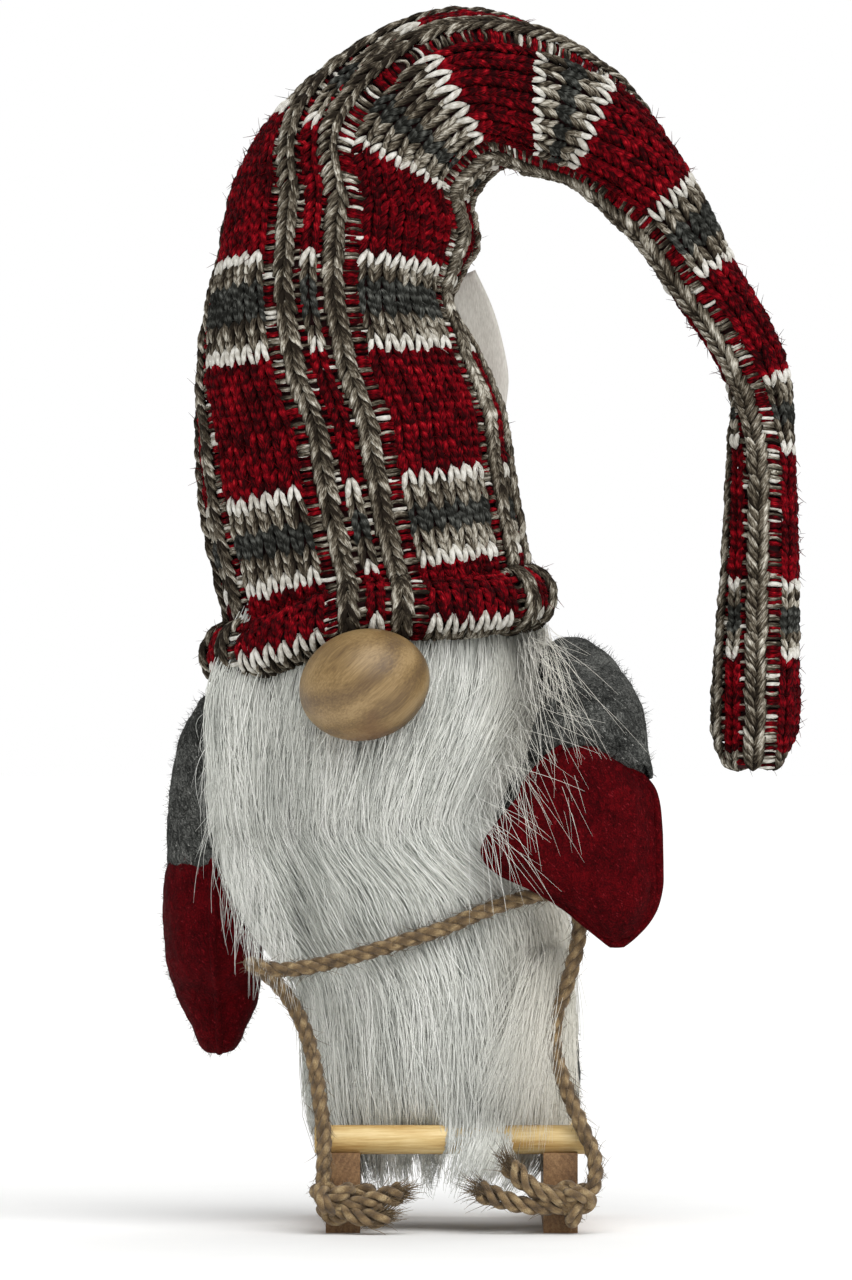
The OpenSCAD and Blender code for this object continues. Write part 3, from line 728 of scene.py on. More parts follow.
BRIM_MIDDLE = (-30.6, 176)
BRIM_HALF = (43.6, 37)
BRIM_ROLL = (6.6, 7.4)
BRIM_STEP = math.radians(27)
BRIM_FIRST = math.radians(-112)
BRIM_ROWS = "MMMWRRRRR"
BRIM_MEAN = 41.2        # mean radius of the brim
BRIM_ROUND = math.pi * BRIM_MEAN
BRIM_DRIFT, BRIM_PITCH = [(0, 6)], [(0, 4.3)]


def brim_point(row, offset):
    """Point on the roll of the brim: rows go up its outside."""
    angle = offset / BRIM_MEAN - math.pi / 2
    x = BRIM_MIDDLE[0] + BRIM_HALF[0] * np.cos(angle)
    y = BRIM_HALF[1] * np.sin(angle)
    front = np.clip(-np.sin(angle), 0, 1)
    z = BRIM_MIDDLE[1] + 0.2 * (x - BRIM_MIDDLE[0]) + 6 * np.exp(-(((x + 36) / 22) ** 2)) * front
    out = unit(np.stack([np.cos(angle) / BRIM_HALF[0], np.sin(angle) / BRIM_HALF[1]], -1))
    roll = BRIM_FIRST + BRIM_STEP * row
    reach = BRIM_ROLL[0] * np.cos(roll)
    return xyz(x + out[..., 0] * reach, y + out[..., 1] * reach, z + BRIM_ROLL[1] * np.sin(roll))


def outward(surface, row, offset):
    up = surface(row + 0.3, offset) - surface(row - 0.3, offset)
    right = surface(row, offset + 0.6) - surface(row, offset - 0.6)
    return unit(np.cross(right, up))


# Of red, white, marl and charcoal stitches: half width at the foot, thickness, rise over the rest, and
# how far the foot reaches down
LEG_SPREAD = np.array([0.45, 0.37, 0.44, 0.44])
LEG_THICK = np.array([1.1, 0.92, 1.02, 1.02])
LEG_RISE = np.array([0, 0.35, 0, 0])
LEG_FOOT = np.array([0.85, 1.1, 0.95, 0.85])


def stitch_legs(surface, row, offset, pitch, yarns, raised):
    """Two bent legs for each stitch, which meet at its top inside the stitch above."""
    legs = []
    count = len(row)
    u = np.linspace(0, 1, 6)[None]
    chain = raised[:, None]
    loose = rng.normal(0, 1, (5, count, 1))
    shade = uniform(0, 1, count)
    spread = (LEG_SPREAD[yarns] * (1 + 0.3 * raised))[:, None]
    thick = (LEG_THICK[yarns] * (1 + 0.14 * raised))[:, None]
    for side in (-1, 1):
        lean = side * spread * (1 - (0.74 + 0.26 * chain) * u ** (1.25 - 0.25 * chain)) * pitch[:, None]
        across = offset[:, None] + lean + 0.16 * loose[0] + 0.1 * loose[4] * u
        foot = (LEG_FOOT[yarns] + 0.3 * raised)[:, None]
        height = row[:, None] - foot + (0.9 + foot) * u + 0.09 * loose[1] + side * 0.07 * loose[3]
        base = surface(height, across)
        out = outward(surface, height, across)
        rise = 0.1 + 1.15 * np.sin(math.pi * (0.06 + 0.8 * u)) - 0.55 * u**3 + 0.15 * loose[2]
        rise = rise + (0.8 * raised + LEG_RISE[yarns])[:, None] + 0.5 * chain * u * (1 + side * 0.35)
        radii = thick * (0.42 + 0.58 * np.sin(math.pi * (0.1 + 0.76 * u)))
        radii = radii * (1 + 0.08 * loose[3])
        legs.append(tubes(base + out * rise[..., None], radii, 6, shade, yarns, up=out, flat=0.85))
    return legs


def ladders(surface, row, column, offset, pitch):
    """Loose strands that cross the gaps on both sides of a marl column."""
    made = []
    u = np.linspace(0, 1, 6)[None]
    panel_side = np.where(column % CHAIN_EVERY == 0, 1, -1)[:, None]
    r, o, p = row[:, None], offset[:, None], pitch[:, None]
    for lift, outer in ((-0.36, True), (-0.1, True), (0.16, True), (0.4, True), (-0.25, False), (0.2, False)):
        side = panel_side if outer else -panel_side
        end = uniform(1.2, 1.6, r.shape) if outer else uniform(0.8, 1.1, r.shape)
        across = o + side * p * (0.3 + end * u)
        height = r + lift + rng.normal(0, 0.12, r.shape)
        height = height + rng.normal(0, 0.22, r.shape) * np.sin(math.pi * u)
        base = surface(height, across)
        out = outward(surface, height, across)
        rise = 0.5 + uniform(0, 0.7, r.shape) * np.sin(math.pi * u)
        radii = uniform(0.5, 0.85, r.shape) * (0.65 + 0.35 * np.sin(math.pi * u))
        yarns = rng.choice([MARL, WHITE, RED], r.shape[0], p=[0.36, 0.07, 0.57])
        made.append(tubes(base + out * rise[..., None], radii, 5, uniform(0, 1, len(r)), yarns, up=out))
    return made


def wool_wisps(surface, row, offset, pitch, yarns, each, length, radius):
    """Fine loose fibres over the stitches; each is how many of them a stitch has."""
    picked = rng.choice(len(row), int(len(row) * each)) if len(row) else np.zeros(0, int)
    at_row = row[picked] + uniform(-0.5, 0.5, len(picked))
    at = offset[picked] + uniform(-0.5, 0.5, len(picked)) * pitch[picked]
    base = surface(at_row, at)
    out = outward(surface, at_row, at)
    up = unit(surface(at_row + 0.5, at) - base)
    aims = up * rng.choice([-1, 1], (len(picked), 1)) + rng.normal(0, 0.42, (len(picked), 3))
    aims = unit(aims + 0.22 * out)
    lengths = length * uniform(0.4, 1, len(picked))
    return strands(base + 1.2 * out, aims, lengths, radius, 0.3, yarns[picked])


def on_line(points, row):
    return np.interp(row, [p[0] for p in points], [p[1] for p in points])


def knit(name, surface, rows, first, reach, drifts, pitches, fluff):
    """A stretch of knitting from its rows of stitches; fluff is how many wisps each red stitch has."""
    row, column = [], []
    for at in range(first, first + len(rows)):
        pitch, drift, half = on_line(pitches, at), on_line(drifts, at), reach(at)
        columns = np.arange(math.ceil((-half - drift) / pitch), math.floor((half - drift) / pitch) + 1)
        columns = columns[~np.isin(columns % CHAIN_EVERY, OPEN_COLUMNS)]
        row.append(np.full(len(columns), at, float))
        column.append(columns)
    row = np.concatenate(row)
    column = np.concatenate(column)
    yarns = np.array([YARN_OF[rows[int(r) - first]] for r in row])
    chain = np.isin(column % CHAIN_EVERY, (0, CHAIN_SECOND))
    yarns = np.where(chain, MARL, yarns)
    pitch = on_line(pitches, row)
    offset = (column - 0.5 * (column % CHAIN_EVERY == BETWEEN)) * pitch + on_line(drifts, row)
    shapes = ladders(surface, row[chain], column[chain], offset[chain], pitch[chain])
    shapes += stitch_legs(surface, row, offset, pitch, yarns, chain.astype(float))
    for some, *wisps in ((yarns == RED, fluff, 5, 0.15), (yarns != RED, 0.5, 4, 0.1)):
        shapes.append(wool_wisps(surface, row[some], offset[some], pitch[some], yarns[some], *wisps))
    return add_mesh(name, joined(shapes), YARNS)


def shade_sheet(name, surface, first, last, reach):
    """Painted shade: a dark closed sheet sunk under the stitches, which shows between them."""
    around, sunk = 56, 0.7
    rows = np.arange(first, last + 0.01, 0.75)
    rings = []
    for row in rows:
        offset = (np.arange(around) / around * 2 - 1) * reach(row)
        at = np.full(around, row)
        rings.append(surface(at, offset) - sunk * outward(surface, at, offset))
    return add_mesh(name, lofted(np.array(rings)), [KNIT_SHADE_SHEET])


# Stretches of the hat: name, first and last row, and the body or the bend that it follows
FIRST_BEND = ("figure", "hat_middle", (-37, 306), (-21, 324))
SECOND_BEND = ("hat_middle", "hat_end", (75.5, 261), (83, 243))
HAT_STRETCHES = [
    ("knit_crown_low", 0, 15, "figure"),
    ("knit_crown_high", 16, 32, "figure"),
    ("knit_turn_low", 33, 47, FIRST_BEND),
    ("knit_turn_high", 48, 64, FIRST_BEND),
    ("knit_arch", 65, 93, "hat_middle"),
    ("knit_drop", 94, 116, SECOND_BEND),
    ("knit_tail", 117, 145, "hat_end"),
]


def follow(piece, way):
    if isinstance(way, str):
        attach(piece, way)
    else:
        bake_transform(piece)


def make_hat():
    for name, first, last, way in HAT_STRETCHES:
        rows = HAT_ROWS[first : last + 1]
        piece = knit(name, hat_point, rows, first, hat_round, CHAIN_DRIFT, COLUMN_PITCH, 3.0)
        # A dark sheet under each stretch, painted shade that shows between its stitches.
        under = shade_sheet(name + "_shade_sheet", hat_point, first - 1, min(last + 1, 146), hat_round)
        for p in (piece, under):
            follow(p, way)
    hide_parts("hat_crown")
    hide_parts("hat_arch")
    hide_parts("hat_tail")
    brim = knit("knit_brim", brim_point, BRIM_ROWS, 0, lambda row: BRIM_ROUND, BRIM_DRIFT, BRIM_PITCH, 3.2)
    # A dark core inside the roll of the brim: painted shade that shows between its stitches.
    around = 96
    turns = (np.arange(around) / around * 2 - 1) * BRIM_ROUND
    full_roll = TURN / BRIM_STEP
    core = np.array([brim_point(np.linspace(0, full_roll, 13)[:-1], np.full(12, t)) for t in turns])
    count, n, _ = core.shape
    middle = core.mean(axis=1, keepdims=True)
    core = middle + 0.86 * (core - middle)
    quads = grid(count + 1, n)[:, [0, 3, 2, 1]] % (count * n)
    under = add_mesh("knit_brim_shade_sheet", Shape(core.reshape(-1, 3), [quads]), [KNIT_SHADE_SHEET])
    for p in (brim, under):
        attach(p, "figure")
    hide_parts("hat_brim")


make_hat()

# ---- felt body
# Rings of the body: [middle x, height, half width, half depth]
BODY_LINE = [
    [-9, 31.3, 38, 34], [-9.5, 45, 39, 35], [-11.5, 70, 38.5, 35.5], [-15, 95, 39, 36],
    [-19.5, 120, 40, 36], [-23, 140, 39, 34.5], [-26.5, 155, 37, 32], [-28.5, 168, 36, 29.5],
    [-31, 185, 35, 29], [-32.5, 195, 24, 20], [-33, 198, 4, 4],
]


def felt_fuzz(piece, count, length, material, body):
    """Short loose fibres on a felt piece."""
    at = rng.integers(0, len(piece.data.vertices), count)
    roots = places(piece)[at] / MM
    out = normals(piece)[at]
    aims = unit(out * uniform(0.2, 0.9, (count, 1)) + rng.normal(0, 0.6, (count, 3)))
    lengths = length * uniform(0.3, 1, count)
    fuzz = add_mesh(piece.name + "_fuzz", strands(roots - 0.2 * out, aims, lengths, 0.07, 0.5), [material])
    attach(fuzz, body)


def make_body():
    line = through(BODY_LINE, 10)
    turn = circle(120)
    rings = []
    for x, z, a, b in line:
        lift = 1.6 * max(0, 1 - (z - BODY_LINE[0][1]) / 3) ** 2
        a, b = a - lift, b - lift
        rings.append(xyz(x + a * np.cos(turn), b * np.sin(turn), z))
    shape = lofted(np.array(rings))
    out = unit(shape.verts - np.array([0, 0, 1]) * shape.verts[:, 2:] - np.array([-20, 0, 0]))
    dents = 0.5 * waves(shape.verts, 16, 3) + 0.25 * waves(shape.verts, 6, 4)
    seam = np.exp(-((shape.verts[:, 0] + 18) / 1.1) ** 2) * (shape.verts[:, 1] > 0)
    body = add_mesh("felt_body", shape, [GREY_FELT])
    move_to(body, (shape.verts + out * (dents - 0.6 - 1.0 * seam)[:, None]) * MM)
    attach(body, "figure")
    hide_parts("body_shell")
    felt_fuzz(body, 5500, 2.6, GREY_FELT, "figure")


# ---- arms
# Sleeves from the cuff to the shoulder: [x, y, z, half width, half depth]
SLEEVES = {
    "left": [
        [-79.3, -1, 104.5, 13.6, 16], [-79.5, -1, 114, 13.4, 16], [-79.3, -0.5, 127, 12.8, 15.5],
        [-78.6, 0, 138, 11.6, 14.5], [-77.2, 0, 147, 9.6, 12.5], [-77, 0, 153.5, 6.8, 9],
        [-77, 0, 156.4, 1.8, 2.6],
    ],
    "right": [
        [31, -51, 141.8, 19, 8.6], [31.4, -45.5, 147.5, 18, 9.5], [32, -34, 151, 16.4, 10.5],
        [31, -20, 155, 14.5, 11.5], [28, -8, 160, 12.8, 11.5], [25.4, 2, 163, 10.8, 10],
        [25, 9, 164, 7, 6.6], [25, 11.6, 164.3, 1.6, 1.6],
    ],
}
CUFF_DROOP = {"left": 0, "right": 0.02}     # how much the sides of the cuff hang below its middle
# Mittens: [height, one edge, other edge, half thickness, middle of the thickness]
MITTENS = {
    "left": [
        [51.5, -6, 1, 2.6, -77.2], [54, -9, 5, 4.6, -77.2], [60.5, -12, 10, 7.2, -77.4],
        [68, -15, 13, 10.2, -77.8], [75, -22, 14.5, 11.7, -78.4], [82, -25, 15.5, 12.3, -78.9],
        [90, -23, 16, 12.6, -79.2], [97, -19, 16.5, 12.6, -79.3], [103.9, -17, 16, 12.4, -79.3],
        [108, -15, 15, 11.6, -79.3],
    ],
    "right": [
        [84.6, 37.5, 40.5, 0.6, -53], [87, 34.5, 43.5, 2.4, -53], [91, 29.5, 47.3, 4.2, -53],
        [95.5, 24, 49.8, 5.6, -53], [101, 15, 51.1, 6.8, -53], [106, 4.5, 51.2, 7.3, -53],
        [111.5, 0.8, 51.1, 7.5, -53], [118, 4.5, 50.9, 7.6, -53], [126, 11, 50, 7.4, -53],
        [131, 13, 47.6, 6.9, -53], [138, 19, 40, 6, -53], [141.5, 24, 36, 4.5, -53],
    ],
}
CLOTH_FRAMES = 20
CLOTH = dict(
    quality=5, mass=0.2, tension_stiffness=12, compression_stiffness=12, bending_stiffness=0.2,
    use_pressure=True, uniform_pressure_force=4, shrink_min=-0.04,
)


def puffed(piece, cap, voxel, seed):
    """Swells a stuffed felt piece with a short cloth simulation, at ten times its size.

    No point moves more than cap, and its faces are of size voxel before they are divided, in millimetres.
    """
    enlarge = 10
    remesh = piece.modifiers.new("even", "REMESH")
    remesh.mode = "VOXEL"
    remesh.voxel_size = voxel * MM
    apply_modifiers(piece)
    before = places(piece)
    move_to(piece, before * enlarge)
    cloth = piece.modifiers.new("cloth", "CLOTH")
    for key, value in CLOTH.items():
        setattr(cloth.settings, key, value)
    cloth.settings.effector_weights.gravity = 0
    cloth.point_cache.frame_start = 1
    cloth.point_cache.frame_end = CLOTH_FRAMES
    for step in range(1, CLOTH_FRAMES + 1):
        scene.frame_set(step)
    apply_modifiers(piece)
    scene.frame_set(1)
    moved = places(piece) / enlarge - before
    far = np.linalg.norm(moved, axis=1, keepdims=True)
    moved *= np.minimum(1, cap * MM / np.maximum(far, 1e-9))
    move_to(piece, before + moved)
    soft = piece.modifiers.new("soft", "SMOOTH")
    soft.iterations = 2
    round_off = piece.modifiers.new("round", "SUBSURF")
    round_off.levels = round_off.render_levels = 1
    apply_modifiers(piece)
    points = places(piece)
    dents = 0.28 * waves(points / MM, 7, seed) + 0.14 * waves(points / MM, 2.6, seed + 1)
    move_to(piece, points + normals(piece) * dents[:, None] * MM)
    piece.data.polygons.foreach_set("use_smooth", np.ones(len(piece.data.polygons), bool))


def cover(piece, node, gap):
    """Moves points of a felt piece out until they are at least a gap away from the stuffing in it."""
    inside = bpy.data.objects[node]
    at = [inside.matrix_world @ v.co for v in inside.data.vertices]
    tree = BVHTree.FromPolygons(at, [list(face.vertices) for face in inside.data.polygons])
    points = places(piece)
    for i, point in enumerate(points):
        point = Vector(point)
        on_stuffing, normal, _, far = tree.find_nearest(point)
        if (point - on_stuffing).dot(normal) < 0:
            points[i] = on_stuffing + normal * gap * MM
        elif far < gap * MM:
            points[i] = on_stuffing + (point - on_stuffing).normalized() * gap * MM
    move_to(piece, points)


def sleeve_shape(side):
    fine = through(SLEEVES[side], 6)
    tangent = unit(np.gradient(fine[:, :3], axis=0))
    turn = circle(48)
    rings = []
    for i, (c, t) in enumerate(zip(fine, tangent)):
        x = unit(np.array([1.0, 0, 0]) - t[0] * t)
        y = np.cross(t, x)
        a, b = np.maximum(c[3:5] - 0.8, 0.8)
        ring = c[:3] + np.outer(a * np.cos(turn), x) + np.outer(b * np.sin(turn), y)
        ring[:, 2] -= CUFF_DROOP[side] * max(1 - i / 12, 0) * (ring[:, 0] - c[0] + 3.5) ** 2
        rings.append(ring)
    return lofted(np.array(rings))


def mitten_outline(side):
    """Points of the sewn edge from one side of the cuff round the fingers to the other."""
    fine = through(MITTENS[side], 6)
    edges = [xyz(fine[:, 4], fine[:, k], fine[:, 0]) for k in (1, 2)]
    path = np.vstack([edges[0][::-1], edges[1]])
    return path if side == "left" else path[:, [1, 0, 2]]


def mitten_shape(side):
    fine = through(MITTENS[side], 5)
    half = 18
    t = np.concatenate([np.linspace(-1, 1, half + 1)[:-1], np.linspace(1, -1, half + 1)[:-1]])
    face = np.concatenate([np.full(half, -1.0), np.full(half, 1.0)])
    rings = []
    for z, low, high, thick, middle in fine:
        bulge = 1.0 + thick * np.maximum(1 - np.abs(t) ** 2.2, 0) ** 0.6
        across = (low + high) / 2 + t * (high - low) / 2
        out = middle + face * bulge
        rings.append(xyz(out, across, z)[::-1] if side == "left" else xyz(across, out, z))
    return lofted(np.array(rings))


def mitten_seam(side):
    """The sewn edge that stands out round a mitten, with the stitches that pull it in."""
    count = 150
    path = evenly(mitten_outline(side), count)
    flat_way = np.array([1.0, 0, 0]) if side == "left" else np.array([0, 1.0, 0])
    wobble = 0.12 * np.sin(length_along(path) * 1.9)[:, None] * flat_way
    edge = tubes((path + wobble)[None], np.full((1, count), 1.5), 10, up=flat_way, flat=0.8)
    tangent = unit(np.gradient(path, axis=0))
    inward = unit(np.cross(tangent, flat_way))
    middle = path.mean(axis=0)
    inward *= np.sign(np.sum(inward * (middle - path), axis=1))[:, None]
    at = np.arange(4, count - 4, 3)
    shapes = [edge]
    for face in (-1, 1):
        start = path[at] + inward[at] * 1.0 + face * flat_way * 1.25
        span = tangent[at] * 1.5
        lift = face * flat_way * 0.25
        paths = np.stack([start - 0.5 * span, start + lift, start + 0.5 * span], 1)
        shapes.append(tubes(paths, np.full((len(at), 3), 0.17), 5, up=flat_way))
    return joined(shapes)


def make_arm(side):
    body = side + "_arm"
    sleeve = add_mesh("felt_sleeve_" + side, sleeve_shape(side), [GREY_FELT])
    puffed(sleeve, 1.3, 1.25, 21)
    cover(sleeve, "sleeve_stuffing_" + side, 0.55)
    mitten = add_mesh("felt_mitten_" + side, mitten_shape(side), [RED_FELT])
    puffed(mitten, 1.0, 1.15, 31)
    cover(mitten, "mitten_stuffing_" + side, 1.0)
    seam = add_mesh("mitten_seam_" + side, mitten_seam(side), [RED_FELT])
    for piece, slot in ((sleeve, "grey_felt"), (mitten, "red_felt"), (seam, "red_felt")):
        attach(piece, body)
    felt_fuzz(sleeve, 2600, 2.6, GREY_FELT, body)
    felt_fuzz(mitten, 2400, 2.2, RED_FELT, body)
    halves = ("outer", "inner") if side == "left" else ("front", "back")
    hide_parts("sleeve_" + side)
    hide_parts(*("mitten_" + side + "_" + half for half in halves))


make_body()
make_arm("left")
make_arm("right")

# ---- nose
NOSE_AT = np.array([-34.4, -50, 159.7])
NOSE_LONG, NOSE_ROUND = 19.3, 16.2
NOSE_TILT = math.radians(15)


def make_nose():
    steps = 48
    turn = circle(72)
    swing = np.linspace(-0.495 * math.pi, 0.495 * math.pi, steps)
    rings = []
    for s in swing:
        r = NOSE_ROUND * math.cos(s)
        rings.append(xyz(NOSE_LONG * math.sin(s), r * np.cos(turn), r * np.sin(turn)))
    shape = lofted(np.array(rings))
    shape.verts *= (1 + 0.006 * waves(shape.verts, 14, 8))[:, None] * 0.995
    level = np.array(Matrix.Rotation(-NOSE_TILT, 3, "Y")).T
    shape.verts = shape.verts @ level + NOSE_AT
    nose = add_mesh("wooden_nose", shape, [NOSE_WOOD])
    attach(nose, "figure")
    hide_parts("nose")


make_nose()

# ---- beard
# Outline of the fur: [height, left x, right x, depth of the pile]
BEARD_OUTLINE = [
    [12, -44, 14, 6], [31, -51, 26, 8], [48, -53, 27, 9], [62, -54, 27, 9], [74, -57, 26, 9],
    [86, -67, 26, 9], [100, -74, 21, 9], [114, -78, 3, 9], [128, -80, 6, 11], [143, -81, 14, 12],
    [157, -81, 21, 10], [168, -78, 22, 7], [178, -73, 20, 4], [186, -70, 18, 2],
]
BAR_TOP = 34        # below this height the fur hangs behind the front bar
BEHIND_BAR, OVER_BAR = 38.6, 50.5


def beard_sides(z):
    return smooth_at(z, [r[0] for r in BEARD_OUTLINE], [r[1:] for r in BEARD_OUTLINE])


def body_across(z):
    z = np.maximum(z, BODY_LINE[0][1])
    return smooth_at(z, [r[1] for r in BODY_LINE], [[r[0], r[2], r[3]] for r in BODY_LINE])


def fur_point(share, z, over):
    """Point of the fur: share is -1 at its left edge and 1 at its right; over is its height in the pile."""
    sides = beard_sides(z)
    x = (sides[..., 0] + sides[..., 1]) / 2 + share * (sides[..., 1] - sides[..., 0]) / 2
    body = body_across(z)
    inside = np.clip(1 - ((x - body[..., 0]) / (body[..., 1] + 1.5)) ** 2, 0, 1)
    skin = (body[..., 2] + 0.8) * np.sqrt(inside)
    arm = 17.5 * np.clip((-48 - x) / 9, 0, 1) * np.clip((z - 66) / 16, 0, 1)
    pile = sides[..., 2] * np.sqrt(np.clip(1 - 0.85 * share**4, 0, 1))
    rope_press = 3.0 * np.exp(-(((z - 77 - 0.27 * (x + 50)) / 5) ** 2))
    rope_press = rope_press * np.clip((30 - np.abs(x + 22)) / 8, 0, 1)
    front = np.maximum(skin, arm) + (pile - rope_press) * over
    low = np.clip((BAR_TOP - z) / 7, 0, 1)
    over_bar = np.clip((13 - np.abs(x + 1)) / 4, 0, 1)
    hung = np.minimum(front, BEHIND_BAR - 2 * over) * (1 - over_bar) + (OVER_BAR + over) * over_bar
    front = front * (1 - low) + hung * low
    return xyz(x, -front, z)


def make_fur_base():
    """The backing that the fur grows from."""
    heights = np.linspace(34, 184, 60)
    share = np.linspace(-0.95, 0.95, 40)
    rings = []
    for z in heights:
        height = np.full(len(share), z)
        rings.append(np.vstack([fur_point(share, height, 0.45), fur_point(share[::-1], height, 0.0)]))
    base = add_mesh("fur_backing", lofted(np.array(rings)), [FUR])
    shade = np.full(len(base.data.vertices), 0.4, np.float32)
    base.data.attributes["shade"].data.foreach_set("value", shade)
    return base


STRAND_RINGS = 8


def hanging_strands(locks, each, top, reach, edge_share, lift, width, frizz):
    """Strands gathered in locks that hang from their roots; each lock and each strand has its own wave."""
    t = np.linspace(0, 1, STRAND_RINGS)
    n = locks * each

    def of_lock(values):
        return np.repeat(values, each)[:, None]

    root_share = of_lock(uniform(-edge_share, edge_share, locks))
    root_z = of_lock(uniform(*top, locks))
    length = of_lock(uniform(*reach, locks))
    sway = of_lock(rng.normal(0, 0.08, locks))
    curl = of_lock(uniform(0.005, 0.035, locks))
    phase = of_lock(uniform(0, TURN, locks))
    beat = of_lock(uniform(0.5, 1.3, locks))
    tone = of_lock(rng.normal(0.52, 0.22, locks))[:, 0]
    angle = uniform(0, TURN, (n, 1))
    radius = np.sqrt(uniform(0, 1, (n, 1)))
    gather = (1.0 - 0.55 * t**1.5) * (0.6 + 0.4 * np.sin(math.pi * t))
    own = rng.normal(0, 1, (5, n, 1))
    own_wave = np.sin(TURN * (uniform(0.5, 2.2, (n, 1)) * t + uniform(0, 1, (n, 1))))
    share = (
        root_share
        + sway * t**1.5
        + curl * np.sin(TURN * beat * t + phase) * t
        + width * radius * np.cos(angle) * gather
        + frizz * (0.035 * own[0] * t**1.3 + 0.012 * own_wave * t)
    )
    z = root_z - length * (1 + 0.12 * own[1]) * t + 4 * own[1]
    over = 0.2 + lift * np.sin(math.pi * np.clip(0.12 + 0.8 * t, 0, 1)) ** 0.8
    over = over + 0.2 * radius * np.sin(angle) * gather + frizz * (0.1 * own[2] * t + 0.04 * own_wave * t)
    edge = 1.0 + 0.03 * own[3]
    paths = fur_point(np.clip(share, -edge, edge), np.maximum(z, 16 + 3 * own[4]), over)
    return paths, np.clip(tone + rng.normal(0, 0.12, n), 0, 1)


def stray_strands():
    """Single hairs that spread over the sleeves, the mittens and the rope."""
    t = np.linspace(0, 1, STRAND_RINGS)
    out = []
    for count, root_z, root_share, spread, drop, forward in (
        (140, (118, 178), (0.75, 0.98), (2, 34), (2, 40), 67.5),
        (120, (135, 178), (0.85, 0.98), (1, 12), (6, 26), 50),
        (90, (112, 170), (-0.98, -0.85), (-8, -1), (6, 28), 24),
        (220, (84, 118), (-0.98, -0.72), (-3, 7), (9, 24), 50.5),
        (160, (40, 90), (0.4, 0.98), (1, 8), (10, 35), 44),
        (420, (66, 84), (0.72, 0.98), (-30, -10), (30, 46), 52),
    ):
        z = uniform(*root_z, (count, 1))
        share = uniform(*root_share, (count, 1))
        start = fur_point(share, z, np.full((count, 1), 0.9))
        away = uniform(*spread, (count, 1)) * uniform(0.2, 1, (count, 1))
        fall = uniform(*drop, (count, 1))
        bow = rng.normal(0, 1.5, (count, 1))
        x = start[..., 0] + away * t + bow * np.sin(math.pi * t)
        front = np.maximum(-start[..., 1], forward + uniform(-1, 1, (count, 1)))
        y = start[..., 1] * (1 - t**0.3) - front * t**0.3
        out.append(xyz(x, y, z - fall * t**1.3))
    paths = np.concatenate(out)
    return paths, uniform(0.5, 1, len(paths))


# Layers: name, locks, strands of a lock, heights of the roots, lengths, edge, lift, width of a lock, frizz
FUR_LAYERS = [
    ("fur_under", 170, 26, (60, 176), (35, 70), 0.95, 0.5, 0.06, 1.0),
    ("fur_middle", 170, 26, (95, 182), (45, 85), 0.97, 0.7, 0.055, 0.9),
    ("fur_lower", 170, 26, (50, 100), (25, 52), 0.96, 0.75, 0.06, 1.1),
    ("fur_top", 170, 26, (140, 184), (45, 95), 0.97, 0.85, 0.05, 0.9),
    ("fur_loose", 2200, 2, (60, 182), (25, 70), 0.98, 1.0, 0.05, 2.2),
]


def make_beard():
    base = make_fur_base()
    taper = 0.12 * (1 - 0.6 * np.linspace(0, 1, STRAND_RINGS) ** 3)
    made = [base]
    hanging = [(layer[0], hanging_strands(*layer[1:])) for layer in FUR_LAYERS]
    for name, (paths, shade) in hanging + [("fur_stray", stray_strands())]:
        fine = 0.5 if name == "fur_stray" else 1
        radii = fine * taper[None] * uniform(0.7, 1.25, (len(paths), 1))
        made.append(add_mesh(name, tubes(paths, radii, 3, shade, up=(0.3, 1, 0.1)), [FUR]))
    for piece in made:
        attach(piece, "figure")
    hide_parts("beard")


make_beard()

# ---- label
LABEL_LEFT = [(-12, 276.5), (-7, 267), (-3, 257), (-1, 247), (0.4, 237)]
LABEL_RIGHT = [(-2, 281), (3.8, 268), (7.6, 252), (7.4, 243), (6, 235)]


def make_label():
    """A blank satin ribbon, sewn into the side of the hat."""
    left = evenly(through(LABEL_LEFT, 8), 30)
    right = evenly(through(LABEL_RIGHT, 8), 30)
    share = np.linspace(0, 1, 9)
    thick = 0.3
    rings = []
    for k, (a, b) in enumerate(zip(left, right)):
        across = a + (b - a) * share[:, None]
        bend = 14.7 + 1.1 * np.sin(k / 29 * 2.6) + 0.7 * np.sin(math.pi * share + k / 9)
        front = xyz(across[:, 0], bend - thick / 2, across[:, 1])
        back = xyz(across[:, 0], bend + thick / 2, across[:, 1])[::-1]
        rings.append(np.vstack([front, back])[::-1])
    label = add_mesh("satin_label", lofted(np.array(rings)), [SATIN])
    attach(label, "figure")
    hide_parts("care_label")


make_label()

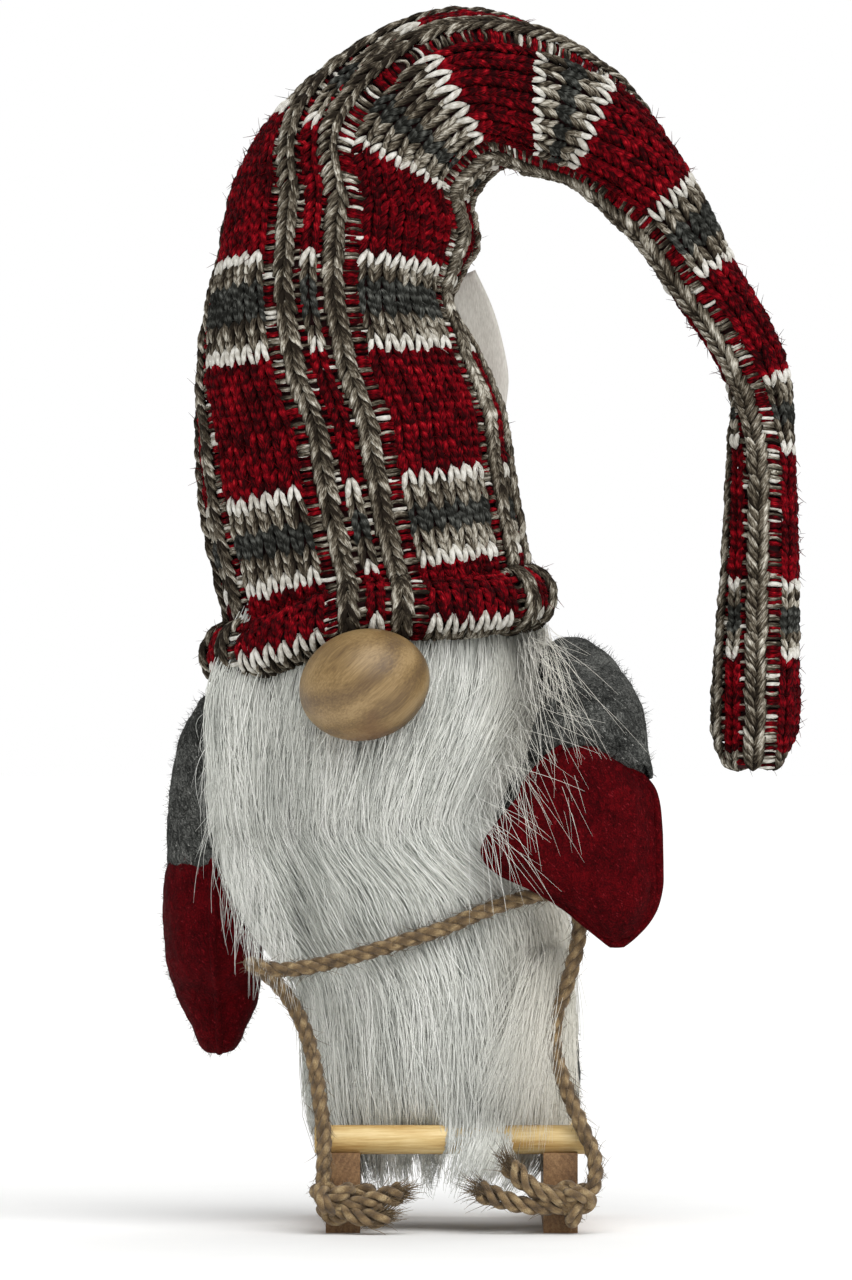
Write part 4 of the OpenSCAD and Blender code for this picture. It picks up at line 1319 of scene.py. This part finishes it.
# ---- sled and hidden pieces
for bar in ("front", "mid_front", "mid_back", "back"):
    dress("crossbar_" + bar, DOWEL_WOOD)
for side in ("left", "right"):
    dress("runner_" + side, RUNNER_WOOD)
    dress("sleeve_stuffing_" + side, HIDDEN_MATERIALS["fibre_fill"])
    dress("mitten_stuffing_" + side, HIDDEN_MATERIALS["fibre_fill"])
for part in ("body", "crown", "arch", "tail"):
    dress(part + "_stuffing", HIDDEN_MATERIALS["fibre_fill"])
for part in ("crown", "arch", "tail"):
    dress("wire_" + part, HIDDEN_MATERIALS["wire"])
dress("base_card", HIDDEN_MATERIALS["card"])
dress("pellet_bag", HIDDEN_MATERIALS["pellet_cloth"])
dress("base_felt", GREY_FELT)


# ---- floor and light
def make_stage():
    floor = Shader("floor", Roughness=0.7)
    floor.color(floor.ramp(floor.noise(60, 2), (0.3, rgb(250, 250, 249)), (0.7, rgb(253, 253, 252))))
    size = 6000
    verts = np.array([[-1, -1, 0], [1, -1, 0], [1, 1, 0], [-1, 1, 0]]) * size - [0, 0, 0.05]
    add_mesh("floor", Shape(verts, [np.array([[0, 1, 2, 3]])]), [floor.material])
    world = bpy.data.worlds.new("studio")
    world.use_nodes = True
    tree = world.node_tree
    sky = tree.nodes["Background"]
    sky.inputs["Strength"].default_value = 0.42
    backdrop = tree.nodes.new("ShaderNodeBackground")
    straight = tree.nodes.new("ShaderNodeLightPath")
    chosen = tree.nodes.new("ShaderNodeMixShader")
    for background in (sky, backdrop):
        background.inputs["Color"].default_value = (1, 1, 1, 1)
    tree.links.new(straight.outputs["Is Camera Ray"], chosen.inputs[0])
    tree.links.new(sky.outputs[0], chosen.inputs[1])
    tree.links.new(backdrop.outputs[0], chosen.inputs[2])
    tree.links.new(chosen.outputs[0], tree.nodes["World Output"].inputs["Surface"])
    scene.world = world
    for name, place, spread, power in (
        ("key", (0.4, -1.15, 1.4), 60, 2.35),
        ("back", (0.2, 1.2, 1.6), 50, 0.8),
    ):
        data = bpy.data.lights.new(name, "SUN")
        data.angle = math.radians(spread)
        data.energy = power
        light = bpy.data.objects.new(name, data)
        light.location = place
        light.rotation_euler = (-light.location).to_track_quat("-Z", "Y").to_euler()
        scene.collection.objects.link(light)
    scene.view_settings.view_transform = "Standard"


make_stage()

bpy.context.view_layer.update()
